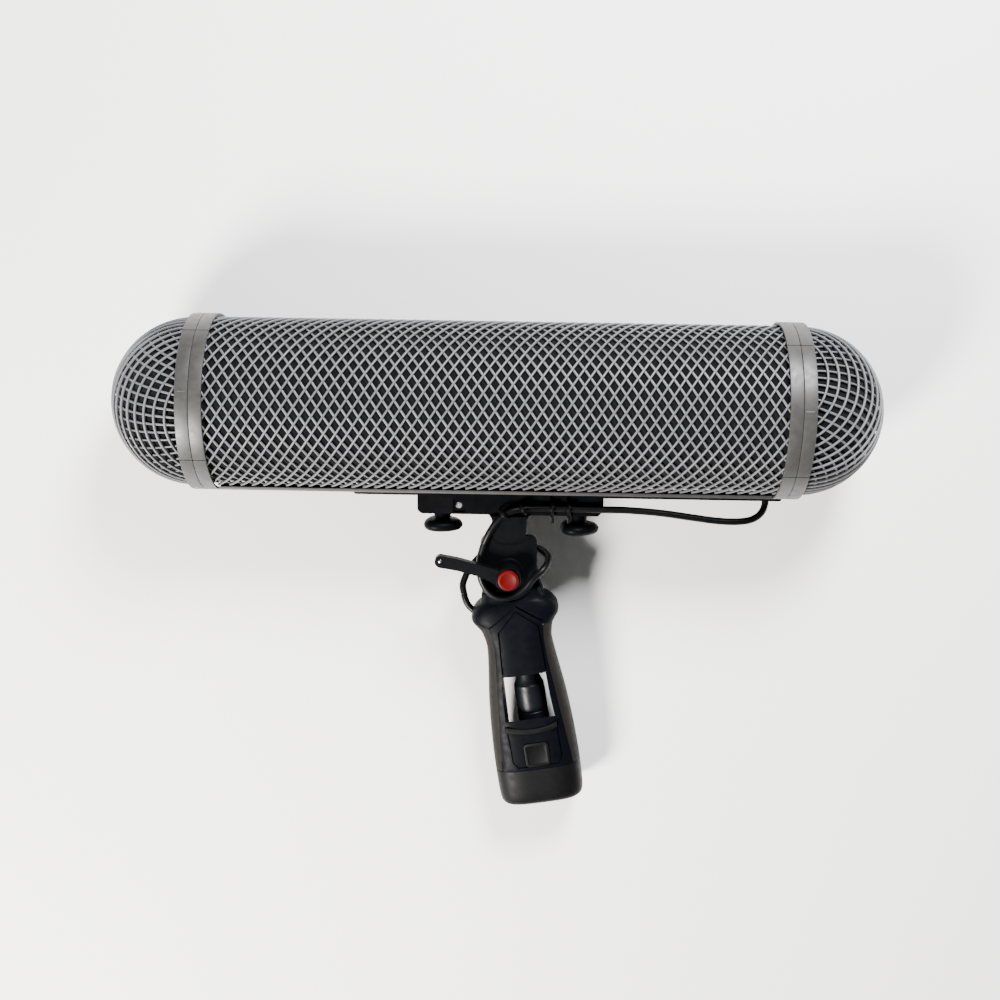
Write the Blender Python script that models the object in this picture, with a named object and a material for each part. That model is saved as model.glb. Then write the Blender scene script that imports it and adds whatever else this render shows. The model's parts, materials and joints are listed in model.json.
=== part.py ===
"""Basket windshield for a shotgun microphone, on a swivelling pistol grip, lying on its side.

Every part is modelled in the windshield's own frame, in millimetres: X along the tube towards its
rear, Z from the grip up to the tube's axis, Y away from the clamp lever. The empty "laid_down"
turns that frame over, so that the two rings and the foot of the grip rest on the floor.
"""

import math

import bmesh
import bpy
from mathutils import Euler, Vector
from mathutils.geometry import interpolate_bezier

for item in list(bpy.data.objects):
    bpy.data.objects.remove(item, do_unlink=True)

MM = 0.001
GAP = 0.3  # between pieces that touch
FAR = 400.0  # longer than anything here, for cutters

# Basket
NET_R = 50.0
NET_T = 2.6
LINER_T = 0.7
RING_R = 51.9
RING_OUT = 177.7  # the rings' outer and inner edges along X
RING_IN = 162.7
RING_MID = (RING_OUT + RING_IN) / 2
RING_BORE = 45.2
NET_END = 166.7
DOME_R = 49.6
DOME_X = 176.6  # centre of the rear dome
SLOT_Y = 10.0  # half the slot along the bottom of the tube
RAIL_Y0, RAIL_Y1 = 10.2, 16.0
RAIL_Z = -49.8
NOTCH_Y, NOTCH_Z = 9.6, -49.9  # the tube collars' notch for the bar
SPIGOT_R = 44.9

# Suspension
BAR_X0, BAR_X1 = -84.0, 169.8
BAR_Y = 9.0
BAR_Z0, BAR_Z1 = -52.6, -50.3
NUT_TOP = -47.4
LYRE_FOOT_TOP = -44.6
EXIT_X = 161.5  # where the cable comes out through the bar
LYRE_X = (-62.0, 72.0)
CLIP_R = 9.6
BRACKET_X0, BRACKET_X1 = -45.9, 64.2
BRACKET_Y = 11.0
BRACKET_Z0, BRACKET_Z1 = -63.2, -50.0
KNOB_X = (-31.5, 50.2)
KNOB_Z = (-71.7, -72.8)  # middles of the two knobs' heads
KNOB_R = 11.6
KNOB_LOBE = 0.7
# height and width of a knob's head, from its top down
KNOB_SECTIONS = ((3.4, 0.62), (2.9, 0.80), (1.7, 0.94), (0.0, 1.0), (-1.8, 0.95), (-3.0, 0.82), (-3.5, 0.64))
STUD_R = 2.4
STUD_TOP = -48.0
NECK_R = 5.0
HOLE_R = 2.8
BAND_X = (34.0, 43.9)
BAND_HALF = 1.0  # half the bands' width
BAND_TAIL = 3.2
PIN_X, PIN_Z, PIN_R = -21.0, -58.1, 2.1

# Swivel
PIVOT = (8.7, 0.0, -99.0)
STEM_HALF = 10.3
CHEEK_HALF = 16.9
CHEEK_Y0, CHEEK_Y1 = 6.5, 12.5
SHOULDER_R = 5.5
SHOULDER_NEAR, SHOULDER_FAR = -81.2, -86.4  # centres of the cheeks' round shoulders
PROUD = 1.3  # the stem is this much thicker than the cheeks on each side
CROTCH_R = 21.0
TONGUE_R = 17.0
BOLT_R, BOLT_HOLE_R = 3.0, 3.3
DISC_R = 10.2
HUB_R = 7.4
HUB_Y0, HUB_Y1 = -26.0, -15.7
WELL_Y = -21.6  # the floor of the well that the button sinks into
BUTTON_R = 6.1

# Grip, in its own frame: the origin is the pivot and -Z runs down the grip
GRIP_TILT = math.radians(9.3)
# distance below the pivot, half the width, half the depth
GRIP_SECTIONS = (
    (12.0, 18.0, 12.6),
    (17.2, 19.2, 13.6),
    (19.4, 22.6, 14.2),
    (22.8, 25.6, 14.9),
    (26.2, 26.6, 15.3),
    (29.2, 26.3, 15.5),
    (32.6, 24.0, 15.5),
    (36.0, 21.9, 15.4),
    (42.0, 20.5, 15.6),
    (48.0, 20.1, 15.9),
    (62.0, 21.6, 16.5),
    (78.0, 23.7, 17.0),
    (94.0, 25.1, 17.4),
    (110.0, 26.0, 17.7),
    (126.0, 26.4, 18.0),
    (140.0, 26.2, 18.0),
    (146.0, 25.0, 17.0),
    (148.4, 22.6, 14.6),
)
# distance below the pivot and half the width of the neck, between the bracket's cheeks
NECK = ((0.0, 17.0), (6.0, 17.3), (9.9, 17.6), (13.0, 18.4), (17.0, 19.0), (21.0, 19.4))
# the edge of each rubber on the grip's face: distance below the pivot, distance from the middle
RUBBER_EDGE = ((32.9, 16.2), (43.0, 15.2), (54.0, 15.6), (129.4, 22.6))
RUBBER_SLOPE = {"left": -0.5, "right": 0.4}  # how far each rubber's top falls towards the outside
FOOT_TOP = 124.4
WINDOW_TOP, WINDOW_LOW = 63.5, 91.8
WINDOW_SLOPE = 0.4  # how far the window's lower wall falls towards the back
PLUG_END = 97.4
PLUG_U = 1.6  # the plug stands a little to the right of the grip's middle
CABLE_D = 4.2

# Cable, in the windshield's frame
ROUTE_UPPER = (
    (141.0, 0.0, 1.0),
    (147.0, 0.0, -0.5),
    (153.5, 0.0, -6.0),
    (158.5, 0.0, -16.0),
    (161.0, 0.0, -30.0),
    (161.8, 0.0, -46.0),
    (161.2, -1.0, -56.0),
    (158.6, -4.0, -61.0),
    (153.0, -7.0, -64.2),
    (144.3, -9.5, -65.2),
    (131.6, -11.0, -64.6),
    (117.2, -12.2, -62.6),
    (98.7, -13.2, -60.0),
    (79.8, -13.5, -58.6),
    (64.5, -13.5, -58.4),
    (46.8, -13.5, -58.3),
    (32.0, -13.5, -58.2),
    (21.0, -14.2, -58.2),
    (14.4, -15.8, -58.6),
    (9.1, -16.6, -60.0),
    (4.6, -16.6, -62.8),
    (0.7, -16.5, -67.0),
    (-3.1, -16.1, -73.4),
    (-5.8, -15.0, -79.6),
)
ROUTE_LOOP = (
    (-6.0, -15.0, -80.2),
    (-7.6, -15.0, -86.0),
    (-8.4, -15.0, -92.0),
    (-8.2, -15.0, -98.2),
    (-6.9, -15.0, -103.6),
    (-3.9, -15.0, -108.6),
    (0.6, -15.0, -112.3),
    (6.4, -15.0, -113.6),
    (12.6, -15.0, -112.0),
    (18.4, -15.0, -107.6),
    (23.6, -15.3, -100.9),
    (29.2, -13.8, -96.0),
    (32.4, -7.6, -92.8),
    (32.6, 0.0, -91.6),
    (31.0, 7.0, -91.2),
    (28.0, 13.2, -90.6),
    (21.8, 17.6, -89.6),
    (12.0, 18.0, -88.6),
    (3.0, 17.8, -89.2),
    (-5.6, 16.4, -93.2),
    (-12.4, 13.2, -99.4),
    (-16.9, 9.8, -105.7),
    (-19.2, 6.9, -112.0),
    (-18.5, 5.5, -116.9),
)
# the last stretch goes down inside the grip, in its own frame
ROUTE_LOWER = (
    (-29.7, 5.4, -13.8),
    (-29.3, 4.6, -17.2),
    (-28.2, 4.0, -20.6),
    (-25.8, 3.2, -23.8),
    (-21.4, 2.0, -27.2),
    (-14.6, 0.8, -31.4),
    (-7.6, 0.0, -36.2),
    (-1.8, 0.0, -41.4),
    (1.0, 0.0, -46.8),
    (1.6, 0.0, -52.4),
)


# ---------------------------------------------------------------- shapes


def ring_arc(radius, first, last, steps, centre=(0.0, 0.0)):
    """Points on an arc, angles in degrees."""
    points = []
    for i in range(steps + 1):
        angle = math.radians(first + (last - first) * i / steps)
        points.append((centre[0] + radius * math.cos(angle), centre[1] + radius * math.sin(angle)))
    return points


def rounded_outline(x0, z0, x1, z1, radius, steps=4):
    """A rectangle with round corners, anticlockwise."""
    corners = (
        ((x1 - radius, z1 - radius), 0),
        ((x0 + radius, z1 - radius), 90),
        ((x0 + radius, z0 + radius), 180),
        ((x1 - radius, z0 + radius), 270),
    )
    points = []
    for centre, start in corners:
        points += ring_arc(radius, start, start + 90, steps, centre)
    return points


def along_axis(axis, a, b, h):
    """A point from its place (a, b) in the outline's plane and h along the axis."""
    return {"x": (h, a, b), "y": (a, h, b), "z": (a, b, h)}[axis]


def extruded(outline, low, high, axis):
    bm = bmesh.new()
    lower = [bm.verts.new(along_axis(axis, a, b, low)) for a, b in outline]
    upper = [bm.verts.new(along_axis(axis, a, b, high)) for a, b in outline]
    count = len(outline)
    for i in range(count):
        j = (i + 1) % count
        bm.faces.new((lower[i], lower[j], upper[j], upper[i]))
    bm.faces.new(lower)
    bm.faces.new(upper)
    bmesh.ops.recalc_face_normals(bm, faces=bm.faces)
    return bm


def framed(outer, inner, low, high, axis):
    """A closed frame between two outlines with the same number of points."""
    bm = bmesh.new()
    rings = []
    for outline, level in ((outer, low), (outer, high), (inner, high), (inner, low)):
        rings.append([bm.verts.new(along_axis(axis, a, b, level)) for a, b in outline])
    count = len(outer)
    for k in range(4):
        first, second = rings[k], rings[(k + 1) % 4]
        for i in range(count):
            j = (i + 1) % count
            bm.faces.new((first[i], first[j], second[j], second[i]))
    bmesh.ops.recalc_face_normals(bm, faces=bm.faces)
    return bm


def block(low, high):
    outline = ((low[0], low[1]), (high[0], low[1]), (high[0], high[1]), (low[0], high[1]))
    return extruded(outline, low[2], high[2], "z")


def turned(profile, axis="x", steps=48):
    """Turns a closed profile of (height, radius) points about an axis through the origin."""
    bm = bmesh.new()
    rows = []
    for height, radius in profile:
        if radius < 1e-6:
            vertex = bm.verts.new(along_axis(axis, 0.0, 0.0, height))
            rows.append([vertex] * steps)
            continue
        row = []
        for a, b in ring_arc(radius, 0, 360, steps)[:-1]:
            row.append(bm.verts.new(along_axis(axis, a, b, height)))
        rows.append(row)
    for k, row in enumerate(rows):
        after = rows[(k + 1) % len(rows)]
        for i in range(steps):
            j = (i + 1) % steps
            corners = []
            for vertex in (row[i], row[j], after[j], after[i]):
                if vertex not in corners:
                    corners.append(vertex)
            if len(corners) > 2:
                bm.faces.new(corners)
    bmesh.ops.recalc_face_normals(bm, faces=bm.faces)
    return bm


def rod(radius, low, high, axis="y", centre=(0.0, 0.0), steps=24):
    return extruded(ring_arc(radius, 0, 360, steps, centre)[:-1], low, high, axis)


def lofted(rings):
    bm = bmesh.new()
    rows = [[bm.verts.new(point) for point in ring] for ring in rings]
    for row, after in zip(rows, rows[1:]):
        for i in range(len(row)):
            j = (i + 1) % len(row)
            bm.faces.new((row[i], row[j], after[j], after[i]))
    bm.faces.new(rows[0])
    bm.faces.new(rows[-1])
    bmesh.ops.triangulate(bm, faces=bm.faces)
    bmesh.ops.recalc_face_normals(bm, faces=bm.faces)
    return bm


def offset_path(path, distance, closed):
    """The path moved sideways, to its left, with mitred corners."""
    count = len(path)
    moved = []
    for i, point in enumerate(path):
        before = path[i - 1] if closed or i > 0 else None
        after = path[(i + 1) % count] if closed or i < count - 1 else None
        point = Vector(point)
        normals = []
        if before is not None:
            step = (point - Vector(before)).normalized()
            normals.append(Vector((-step.y, step.x)))
        if after is not None:
            step = (Vector(after) - point).normalized()
            normals.append(Vector((-step.y, step.x)))
        normal = sum(normals, Vector((0.0, 0.0))).normalized()
        reach = distance / max(normal.dot(normals[0]), 0.4)
        moved.append(tuple(point + normal * reach))
    return moved


def strip(path, thickness):
    """The outline of an open strip that follows a path."""
    left = offset_path(path, thickness / 2, False)
    right = offset_path(path, -thickness / 2, False)
    return left + right[::-1]


def smooth_path(points, steps=2):
    """Points along a curve through the given points, a few to each span."""
    points = [Vector(p) for p in points]
    count = len(points)
    slopes = []
    for i in range(count):
        before, after = points[max(i - 1, 0)], points[min(i + 1, count - 1)]
        slopes.append((after - before) / (2 if 0 < i < count - 1 else 1))
    path = []
    for i in range(count - 1):
        knot, end = points[i], points[i + 1]
        span = interpolate_bezier(knot, knot + slopes[i] / 3, end - slopes[i + 1] / 3, end, steps + 1)
        path += span[:-1]
    return path + [points[-1]]


# ---------------------------------------------------------------- objects


def finish_material(name, colour, roughness, metallic=0.0):
    look = bpy.data.materials.new(name)
    look.use_nodes = True
    shader = look.node_tree.nodes["Principled BSDF"]
    shader.inputs["Base Color"].default_value = (*colour, 1.0)
    shader.inputs["Roughness"].default_value = roughness
    shader.inputs["Metallic"].default_value = metallic
    return look


NET_GREY = finish_material("net_grey", (0.30, 0.30, 0.31), 0.55)
RING_GREY = finish_material("ring_grey", (0.27, 0.26, 0.25), 0.5)
LINER_BLACK = finish_material("liner_black", (0.02, 0.02, 0.022), 0.95)
BLACK_PLASTIC = finish_material("black_plastic", (0.02, 0.02, 0.021), 0.4)
BLACK_METAL = finish_material("black_metal", (0.025, 0.025, 0.026), 0.35, 0.6)
GRIP_BROWN = finish_material("grip_brown", (0.075, 0.062, 0.05), 0.75)
BAND_BLACK = finish_material("band_black", (0.015, 0.015, 0.015), 0.6)
CABLE_BLACK = finish_material("cable_black", (0.015, 0.015, 0.016), 0.5)
STEEL = finish_material("steel", (0.6, 0.6, 0.62), 0.3, 1.0)
BRASS = finish_material("brass", (0.55, 0.40, 0.18), 0.35, 1.0)
BUTTON_RED = finish_material("button_red", (0.65, 0.02, 0.025), 0.35)


def empty(name, parent=None, place=(0.0, 0.0, 0.0), turn=(0.0, 0.0, 0.0)):
    holder = bpy.data.objects.new(name, None)
    bpy.context.collection.objects.link(holder)
    holder.parent = parent
    holder.location = Vector(place) * MM
    holder.rotation_euler = Euler(turn)
    return holder


def linked(name, bm, parent, place):
    bmesh.ops.scale(bm, vec=(MM, MM, MM), verts=bm.verts)
    mesh = bpy.data.meshes.new(name)
    bm.to_mesh(mesh)
    bm.free()
    piece = bpy.data.objects.new(name, mesh)
    bpy.context.collection.objects.link(piece)
    piece.parent = parent
    piece.location = Vector(place) * MM
    return piece


def solid(name, bm, look, parent, place=(0.0, 0.0, 0.0), bevel=0.0):
    """A named sub-part, with an optional small bevel on its sharp edges."""
    piece = linked(name, bm, parent, place)
    piece.data.materials.append(look)
    piece.data.shade_smooth()
    piece.data.set_sharp_from_angle(angle=math.radians(35))
    if bevel:
        edge = piece.modifiers.new("edge", "BEVEL")
        edge.width = bevel * MM
        edge.segments = 1
        edge.limit_method = "ANGLE"
        edge.angle_limit = math.radians(50)
    return piece


def combine(piece, operation, *tools):
    """Cuts tools from a piece, joins them to it, or keeps only what is inside them."""
    for bm in tools:
        tool = linked(f"{piece.name}_{operation.lower()}", bm, piece.parent, (0.0, 0.0, 0.0))
        tool.location = piece.location
        tool.hide_render = True
        tool.display_type = "WIRE"
        step = piece.modifiers.new(operation.lower(), "BOOLEAN")
        step.operation = operation
        step.object = tool


def cut(piece, *tools):
    combine(piece, "DIFFERENCE", *tools)


def join(piece, *tools):
    combine(piece, "UNION", *tools)


def keep_inside(piece, *tools):
    combine(piece, "INTERSECT", *tools)


def tube_curve(name, route, parent, look):
    """A cable: a round tube on the smooth curve through its route."""
    path = smooth_path(route)
    curve = bpy.data.curves.new(name, "CURVE")
    curve.dimensions = "3D"
    curve.bevel_depth = CABLE_D / 2 * MM
    curve.bevel_resolution = 2
    curve.use_fill_caps = True
    line = curve.splines.new("POLY")
    line.points.add(len(path) - 1)
    for knot, point in zip(line.points, path):
        knot.co = (*(point * MM), 1.0)
    line.use_smooth = True
    curve.materials.append(look)
    piece = bpy.data.objects.new(name, curve)
    bpy.context.collection.objects.link(piece)
    piece.parent = parent
    return piece


laid_down = empty("laid_down")
mount = empty("mount_frame", laid_down)
basket = empty("basket_frame", laid_down)
grip = empty("grip_frame", laid_down, PIVOT, (0.0, -GRIP_TILT, 0.0))
lever = empty("lever_frame", laid_down, PIVOT)
caps = {side: empty(f"{side}_cap_frame", laid_down) for side in ("front", "rear")}
SIDES = {"front": -1.0, "rear": 1.0}


# ---------------------------------------------------------------- basket


def slotted_shell(outer, inner):
    """The cross-section of a tube that is open along its bottom."""
    open_outer = math.degrees(math.asin(SLOT_Y / outer))
    open_inner = math.degrees(math.asin(SLOT_Y / inner))
    outside = ring_arc(outer, -90 + open_outer, 270 - open_outer, 48)
    inside = ring_arc(inner, 270 - open_inner, -90 + open_inner, 48)
    return outside + inside


def side_profile(side, profile):
    """The profile at one end of the basket; the front end is the rear one turned round."""
    return [(SIDES[side] * x, r) for x, r in profile]


def make_tube():
    shell = slotted_shell(NET_R, NET_R - NET_T)
    solid("net_tube", extruded(shell, -NET_END, NET_END, "x"), NET_GREY, basket)
    liner_r = NET_R - NET_T - GAP
    lining = slotted_shell(liner_r, liner_r - LINER_T)
    solid("tube_liner", extruded(lining, -NET_END, NET_END, "x"), LINER_BLACK, basket)


def make_collars():
    sleeve = NET_R + GAP
    profile = (
        (RING_IN, RING_R),
        (RING_MID - GAP / 2, RING_R),
        (RING_MID - GAP / 2, RING_BORE),
        (NET_END + GAP, RING_BORE),
        (NET_END + GAP, sleeve),
        (RING_IN, sleeve),
    )
    for side in SIDES:
        collar = solid(f"{side}_tube_collar", turned(side_profile(side, profile), "x", 48), RING_GREY, basket)
        cut(collar, block((-FAR, -NOTCH_Y, -FAR), (FAR, NOTCH_Y, NOTCH_Z)))


def make_rails():
    """Two strips along the slot, that the suspension bar runs under."""
    crown = NET_R + GAP
    for name, turn in (("left", -1.0), ("right", 1.0)):
        outline = [(turn * y, -math.sqrt(crown**2 - y**2)) for y in (RAIL_Y0, 12.0, 14.0, RAIL_Y1)]
        outline += [(turn * RAIL_Y1, RAIL_Z), (turn * RAIL_Y0, RAIL_Z)]
        reach = RING_IN - GAP
        solid(f"{name}_rail", extruded(outline, -reach, reach, "x"), RING_GREY, basket)


def make_caps():
    net_start = RING_MID + 3.5
    sleeve = NET_R + GAP
    ring = (
        (RING_MID + GAP / 2, RING_R),
        (RING_OUT, RING_R),
        (RING_OUT, sleeve),
        (net_start - GAP, sleeve),
        (net_start - GAP, SPIGOT_R - 1.9),
        (RING_IN + 2.0, SPIGOT_R - 1.9),
        (RING_IN + 2.0, SPIGOT_R),
        (RING_MID + GAP / 2, SPIGOT_R),
    )

    def cup(radius, thickness):
        outside = ring_arc(radius, 90, 0, 8, (DOME_X, 0.0))
        inside = ring_arc(radius - thickness, 0, 90, 8, (DOME_X, 0.0))
        return [(net_start, radius)] + outside + inside + [(net_start, radius - thickness)]

    for side, frame in caps.items():
        solid(f"{side}_cap_collar", turned(side_profile(side, ring), "x", 48), RING_GREY, frame)
        dome = cup(DOME_R, NET_T)
        solid(f"{side}_dome_net", turned(side_profile(side, dome), "x", 30), NET_GREY, frame)
        lining = cup(DOME_R - NET_T - GAP, LINER_T)
        solid(f"{side}_dome_liner", turned(side_profile(side, lining), "x", 30), LINER_BLACK, frame)


# ---------------------------------------------------------------- suspension


def make_bar():
    outline = rounded_outline(BAR_X0, -BAR_Y, BAR_X1, BAR_Y, 3.0)
    bar = solid("suspension_bar", extruded(outline, BAR_Z0, BAR_Z1, "z"), BLACK_METAL, mount)
    for x in KNOB_X:
        cut(bar, rod(HOLE_R, -60, -40, "z", (x, 0.0)))
    cut(bar, extruded(rounded_outline(EXIT_X - 7, -4.5, EXIT_X + 5, 4.5, 4.4), -60, -40, "z"))


def make_clamp_nuts():
    for side, x in zip(SIDES, KNOB_X):
        outline = rounded_outline(x - 9, -8, x + 9, 8, 2.0)
        plate = solid(f"{side}_clamp_nut", extruded(outline, BAR_Z1 + GAP, NUT_TOP, "z"), BLACK_METAL, mount)
        cut(plate, rod(STUD_R + GAP, -60, -40, "z", (x, 0.0)))


def lyre_path():
    """Half of a sprung microphone mount, from its foot out, up and in to the clip."""
    out = [(3.0, LYRE_FOOT_TOP - 0.2), (11.0, -42.6), (19.5, -38.0), (26.0, -31.0), (30.2, -22.0), (31.5, -12.0)]
    back = [(29.5, -4.0), (25.0, 0.5), (20.0, 0.6), (15.5, -3.0), (CLIP_R + 0.4, -3.6)]
    return out + back


def make_lyres():
    for side, x in zip(SIDES, LYRE_X):
        foot = extruded(rounded_outline(-8, BAR_Z1 + GAP, 8, LYRE_FOOT_TOP, 1.5), x - 9, x + 9, "x")
        lyre = solid(f"{side}_lyre", foot, BLACK_PLASTIC, mount)
        for turn in (-1.0, 1.0):
            path = [(turn * y, z) for y, z in lyre_path()]
            join(lyre, extruded(strip(path, 2.4), x - 6, x + 6, "x"))
        clip = strip(ring_arc(CLIP_R + 1.0, -240, 60, 30), 2.0)
        join(lyre, extruded(clip, x - 7, x + 7, "x"))


def bracket_outline():
    """The side view of the bracket: the arm under the bar and the stem down to the swivel."""
    px = PIVOT[0]
    low = BRACKET_Z0
    stem = px - STEM_HALF, px + STEM_HALF
    outline = [(BRACKET_X1, BRACKET_Z1), (BRACKET_X0, BRACKET_Z1)]
    outline += ring_arc(3.7, 180, 270, 4, (BRACKET_X0 + 3.7, low + 3.7))
    outline += ring_arc(3.0, 90, 0, 4, (stem[0] - 3.0, low - 3.0))
    outline += ring_arc(7.0, 180, 270, 4, (stem[0] + 7.0, -72.5))
    outline += ring_arc(7.0, 270, 360, 4, (stem[1] - 7.0, -72.5))
    outline += ring_arc(3.0, 180, 90, 4, (stem[1] + 3.0, low - 3.0))
    outline += [(BRACKET_X1 - 3.0, low), (BRACKET_X1 - 1.0, low + 2.2), (BRACKET_X1, BRACKET_Z0 + 6.8)]
    return outline


def cheek_outline(shoulder):
    """The side view of a cheek: half a disc with straight sides up to its round shoulders."""
    px, _, pz = PIVOT
    outline = ring_arc(CHEEK_HALF, 180, 360, 16, (px, pz))
    outline += ring_arc(SHOULDER_R, 0, 90, 4, (px + CHEEK_HALF - SHOULDER_R, shoulder))
    outline += ring_arc(SHOULDER_R, 90, 180, 4, (px - CHEEK_HALF + SHOULDER_R, shoulder))
    return outline


def make_bracket():
    px, _, pz = PIVOT
    bracket = solid("bracket", extruded(bracket_outline(), -BRACKET_Y, BRACKET_Y, "y"), BLACK_PLASTIC, mount)
    proud = [(x, z) for x, z in bracket_outline() if z < BRACKET_Z0 - 0.5]
    join(bracket, extruded(proud, -CHEEK_Y1 - PROUD, CHEEK_Y1 + PROUD, "y"))
    join(bracket, extruded(cheek_outline(SHOULDER_NEAR), -CHEEK_Y1, -CHEEK_Y0, "y"))
    join(bracket, extruded(cheek_outline(SHOULDER_FAR), -CHEEK_Y0 - 0.5, CHEEK_Y1, "y"))
    cut(bracket, block((-FAR, -BAR_Y - GAP, BAR_Z0 - GAP), (FAR, BAR_Y + GAP, 0.0)))
    crotch = [(px - 30, pz), (px - 30, pz - 60), (px + 30, pz - 60), (px + 30, pz)]
    crotch += ring_arc(CROTCH_R, 0, 180, 20, (px, pz))
    cut(bracket, extruded(crotch, -CHEEK_Y0, CHEEK_Y0, "y"))
    cut(bracket, rod(BOLT_HOLE_R, -40, 40, "y", (px, pz)))
    for x in KNOB_X:
        cut(bracket, rod(HOLE_R, -80, -50, "z", (x, 0.0)))
    for x in BAND_X:
        cut(bracket, block((x - BAND_HALF - GAP, -20, BAR_Z0 - 2.3), (x + BAND_HALF + GAP, 20, 0.0)))
    cut(bracket, block((PIN_X - 3.6, -20, -62.0), (PIN_X + 3.4, 1.0 - BRACKET_Y, -54.0)))
    cut(bracket, rod(PIN_R + GAP, -20, 20, "y", (PIN_X, PIN_Z)))


def make_bracket_trims():
    pin = rod(PIN_R, 0.5 - BRACKET_Y, BRACKET_Y - 0.2, "y", (PIN_X, PIN_Z))
    solid("bracket_pin", pin, STEEL, mount)
    front = CABLE_D + 0.6
    low, top = BRACKET_Z0 - 0.95, BAR_Z0 - 1.2
    face = BRACKET_Y + 0.95
    path = [(9.0, top), (face - 0.7, top), (face, top - 0.7), (face, low + 0.6), (face - 0.6, low)]
    path += [(0.6 - face, low), (-face, low + 0.6), (-face - front + 1.2, -61.0)]
    path += [(-face - front, -58.3), (-face - front + 1.2, -55.8), (-face - 1.6, -54.6), (-9.0, top)]
    for number, x in enumerate(BAND_X, 1):
        start, end = x - BAND_HALF, x + BAND_HALF
        loop = framed(offset_path(path, 0.65, True), offset_path(path, -0.65, True), start, end, "x")
        band = solid(f"cable_band_{number}", loop, BAND_BLACK, mount)
        join(band, block((start, -face - 0.6, low - BAND_TAIL), (end, 0.8 - face, low + 0.3)))


def make_hooks():
    """Two short straps that hold the cable against the top of the stem."""
    arm, stem = -BRACKET_Y, -CHEEK_Y1 - PROUD
    reach = CABLE_D / 2 + 1.3
    hooks = {
        "left": ((5.6, -61.8), 47.0, -16.6, (arm, stem)),
        "right": ((16.8, -58.5), 62.0, -15.7, (arm, arm)),
    }
    for name, ((x, z), turn, crest, faces) in hooks.items():
        path = [(-reach - 0.2, faces[0] - GAP)]
        path += ring_arc(reach, 180, 360, 10, (0.0, crest))
        path += [(reach + 0.2, faces[1] - GAP)]
        strap = extruded(strip(path, 1.2), -0.8, 0.8, "z")
        piece = solid(f"{name}_cable_hook", strap, BAND_BLACK, mount, (x, 0.0, z))
        piece.rotation_euler = (0.0, math.radians(turn), 0.0)


def knob_ring(height, scale, phase):
    """One level of a knob's head: a circle with three shallow lobes."""
    ring = []
    for i in range(36):
        angle = math.radians(360 * i / 36)
        radius = scale * (KNOB_R + KNOB_LOBE * math.cos(3 * angle + phase))
        ring.append((radius * math.cos(angle), radius * math.sin(angle), height))
    return ring


def make_knobs():
    for side, x, z, phase in zip(SIDES, KNOB_X, KNOB_Z, (0.6, 0.0)):
        frame = empty(f"{side}_knob_frame", laid_down, (x, 0.0, z))
        head = lofted([knob_ring(height, scale, phase) for height, scale in KNOB_SECTIONS])
        knob = solid(f"{side}_knob", head, BLACK_PLASTIC, frame)
        join(knob, rod(NECK_R, 0.0, BRACKET_Z0 - GAP - z, "z"))
        join(knob, rod(STUD_R, 0.0, STUD_TOP - z, "z", steps=16))


# ---------------------------------------------------------------- swivel


def disc_profile(low, high, radius, bore):
    return [(low, radius), (high, radius), (high, bore), (low, bore)]


def make_swivel():
    px, _, pz = PIVOT
    for side, turn in (("front", -1.0), ("back", 1.0)):
        profile = [(turn * h, r) for h, r in disc_profile(CHEEK_Y1 + GAP, 15.4, DISC_R, BOLT_HOLE_R)]
        solid(f"{side}_friction_disc", turned(profile, "y", 36), BLACK_PLASTIC, mount, PIVOT)
    bolt = solid("swivel_bolt", rod(BOLT_R, -20.6, 19.5, "y"), STEEL, mount, PIVOT)
    join(bolt, extruded(ring_arc(6.4, 30, 390, 6)[:-1], 15.7, 19.8, "y"))


def lever_outline():
    """The lever seen from its side of the swivel, about the swivel's axis."""
    tip = (-39.8, 9.6)
    outline = ring_arc(3.7, 98, 262, 8, tip)
    outline += [(-30.0, 4.3), (-18.6, 1.3), (-11.0, -1.8), (-4.5, -5.6)]
    outline += [(0.0, -5.0), (0.0, 4.4), (-4.5, 4.6), (-8.0, 5.4), (-18.6, 8.5), (-30.0, 11.5)]
    return outline


def make_lever():
    hub = [(HUB_Y1, HUB_R), (HUB_Y1, BOLT_HOLE_R), (WELL_Y, BOLT_HOLE_R), (WELL_Y, BUTTON_R + GAP)]
    hub += [(HUB_Y0, BUTTON_R + GAP), (HUB_Y0, HUB_R - 0.3), (HUB_Y0 + 0.5, HUB_R)]
    arm = extruded(lever_outline(), -23.4, -18.2, "y")
    piece = solid("clamp_lever", turned(hub, "y", 36), BLACK_METAL, lever)
    join(piece, arm)
    cut(piece, rod(BOLT_HOLE_R, -30, -10, "y"), rod(BUTTON_R + GAP, -30, WELL_Y, "y", steps=36))
    cut(piece, rod(1.5, -30, -21.4, "y", (-40.3, 9.6), 16))
    solid("lever_pin", rod(1.2, -23.2, -21.7, "y", (-40.3, 9.6), 16), STEEL, lever)
    plunger = empty("button_frame", laid_down, PIVOT)
    cap = [(-24.0, 0.0), (-24.0, BUTTON_R), (-27.6, BUTTON_R), (-28.2, BUTTON_R - 0.7), (-28.2, 0.0)]
    solid("release_button", turned(cap, "y", 36), BUTTON_RED, plunger)


# ---------------------------------------------------------------- grip


def grip_ring(distance, width, depth, steps=32):
    """One section of the grip: a rectangle with generous round corners."""
    points = []
    for a, b in ring_arc(1.0, 0, 360, steps)[:-1]:
        u = math.copysign(abs(a) ** (2 / 3.4), a) * width
        v = math.copysign(abs(b) ** (2 / 3.4), b) * depth
        points.append((u, v, -distance))
    return points


def grip_form():
    return lofted([grip_ring(*section) for section in GRIP_SECTIONS])


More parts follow.
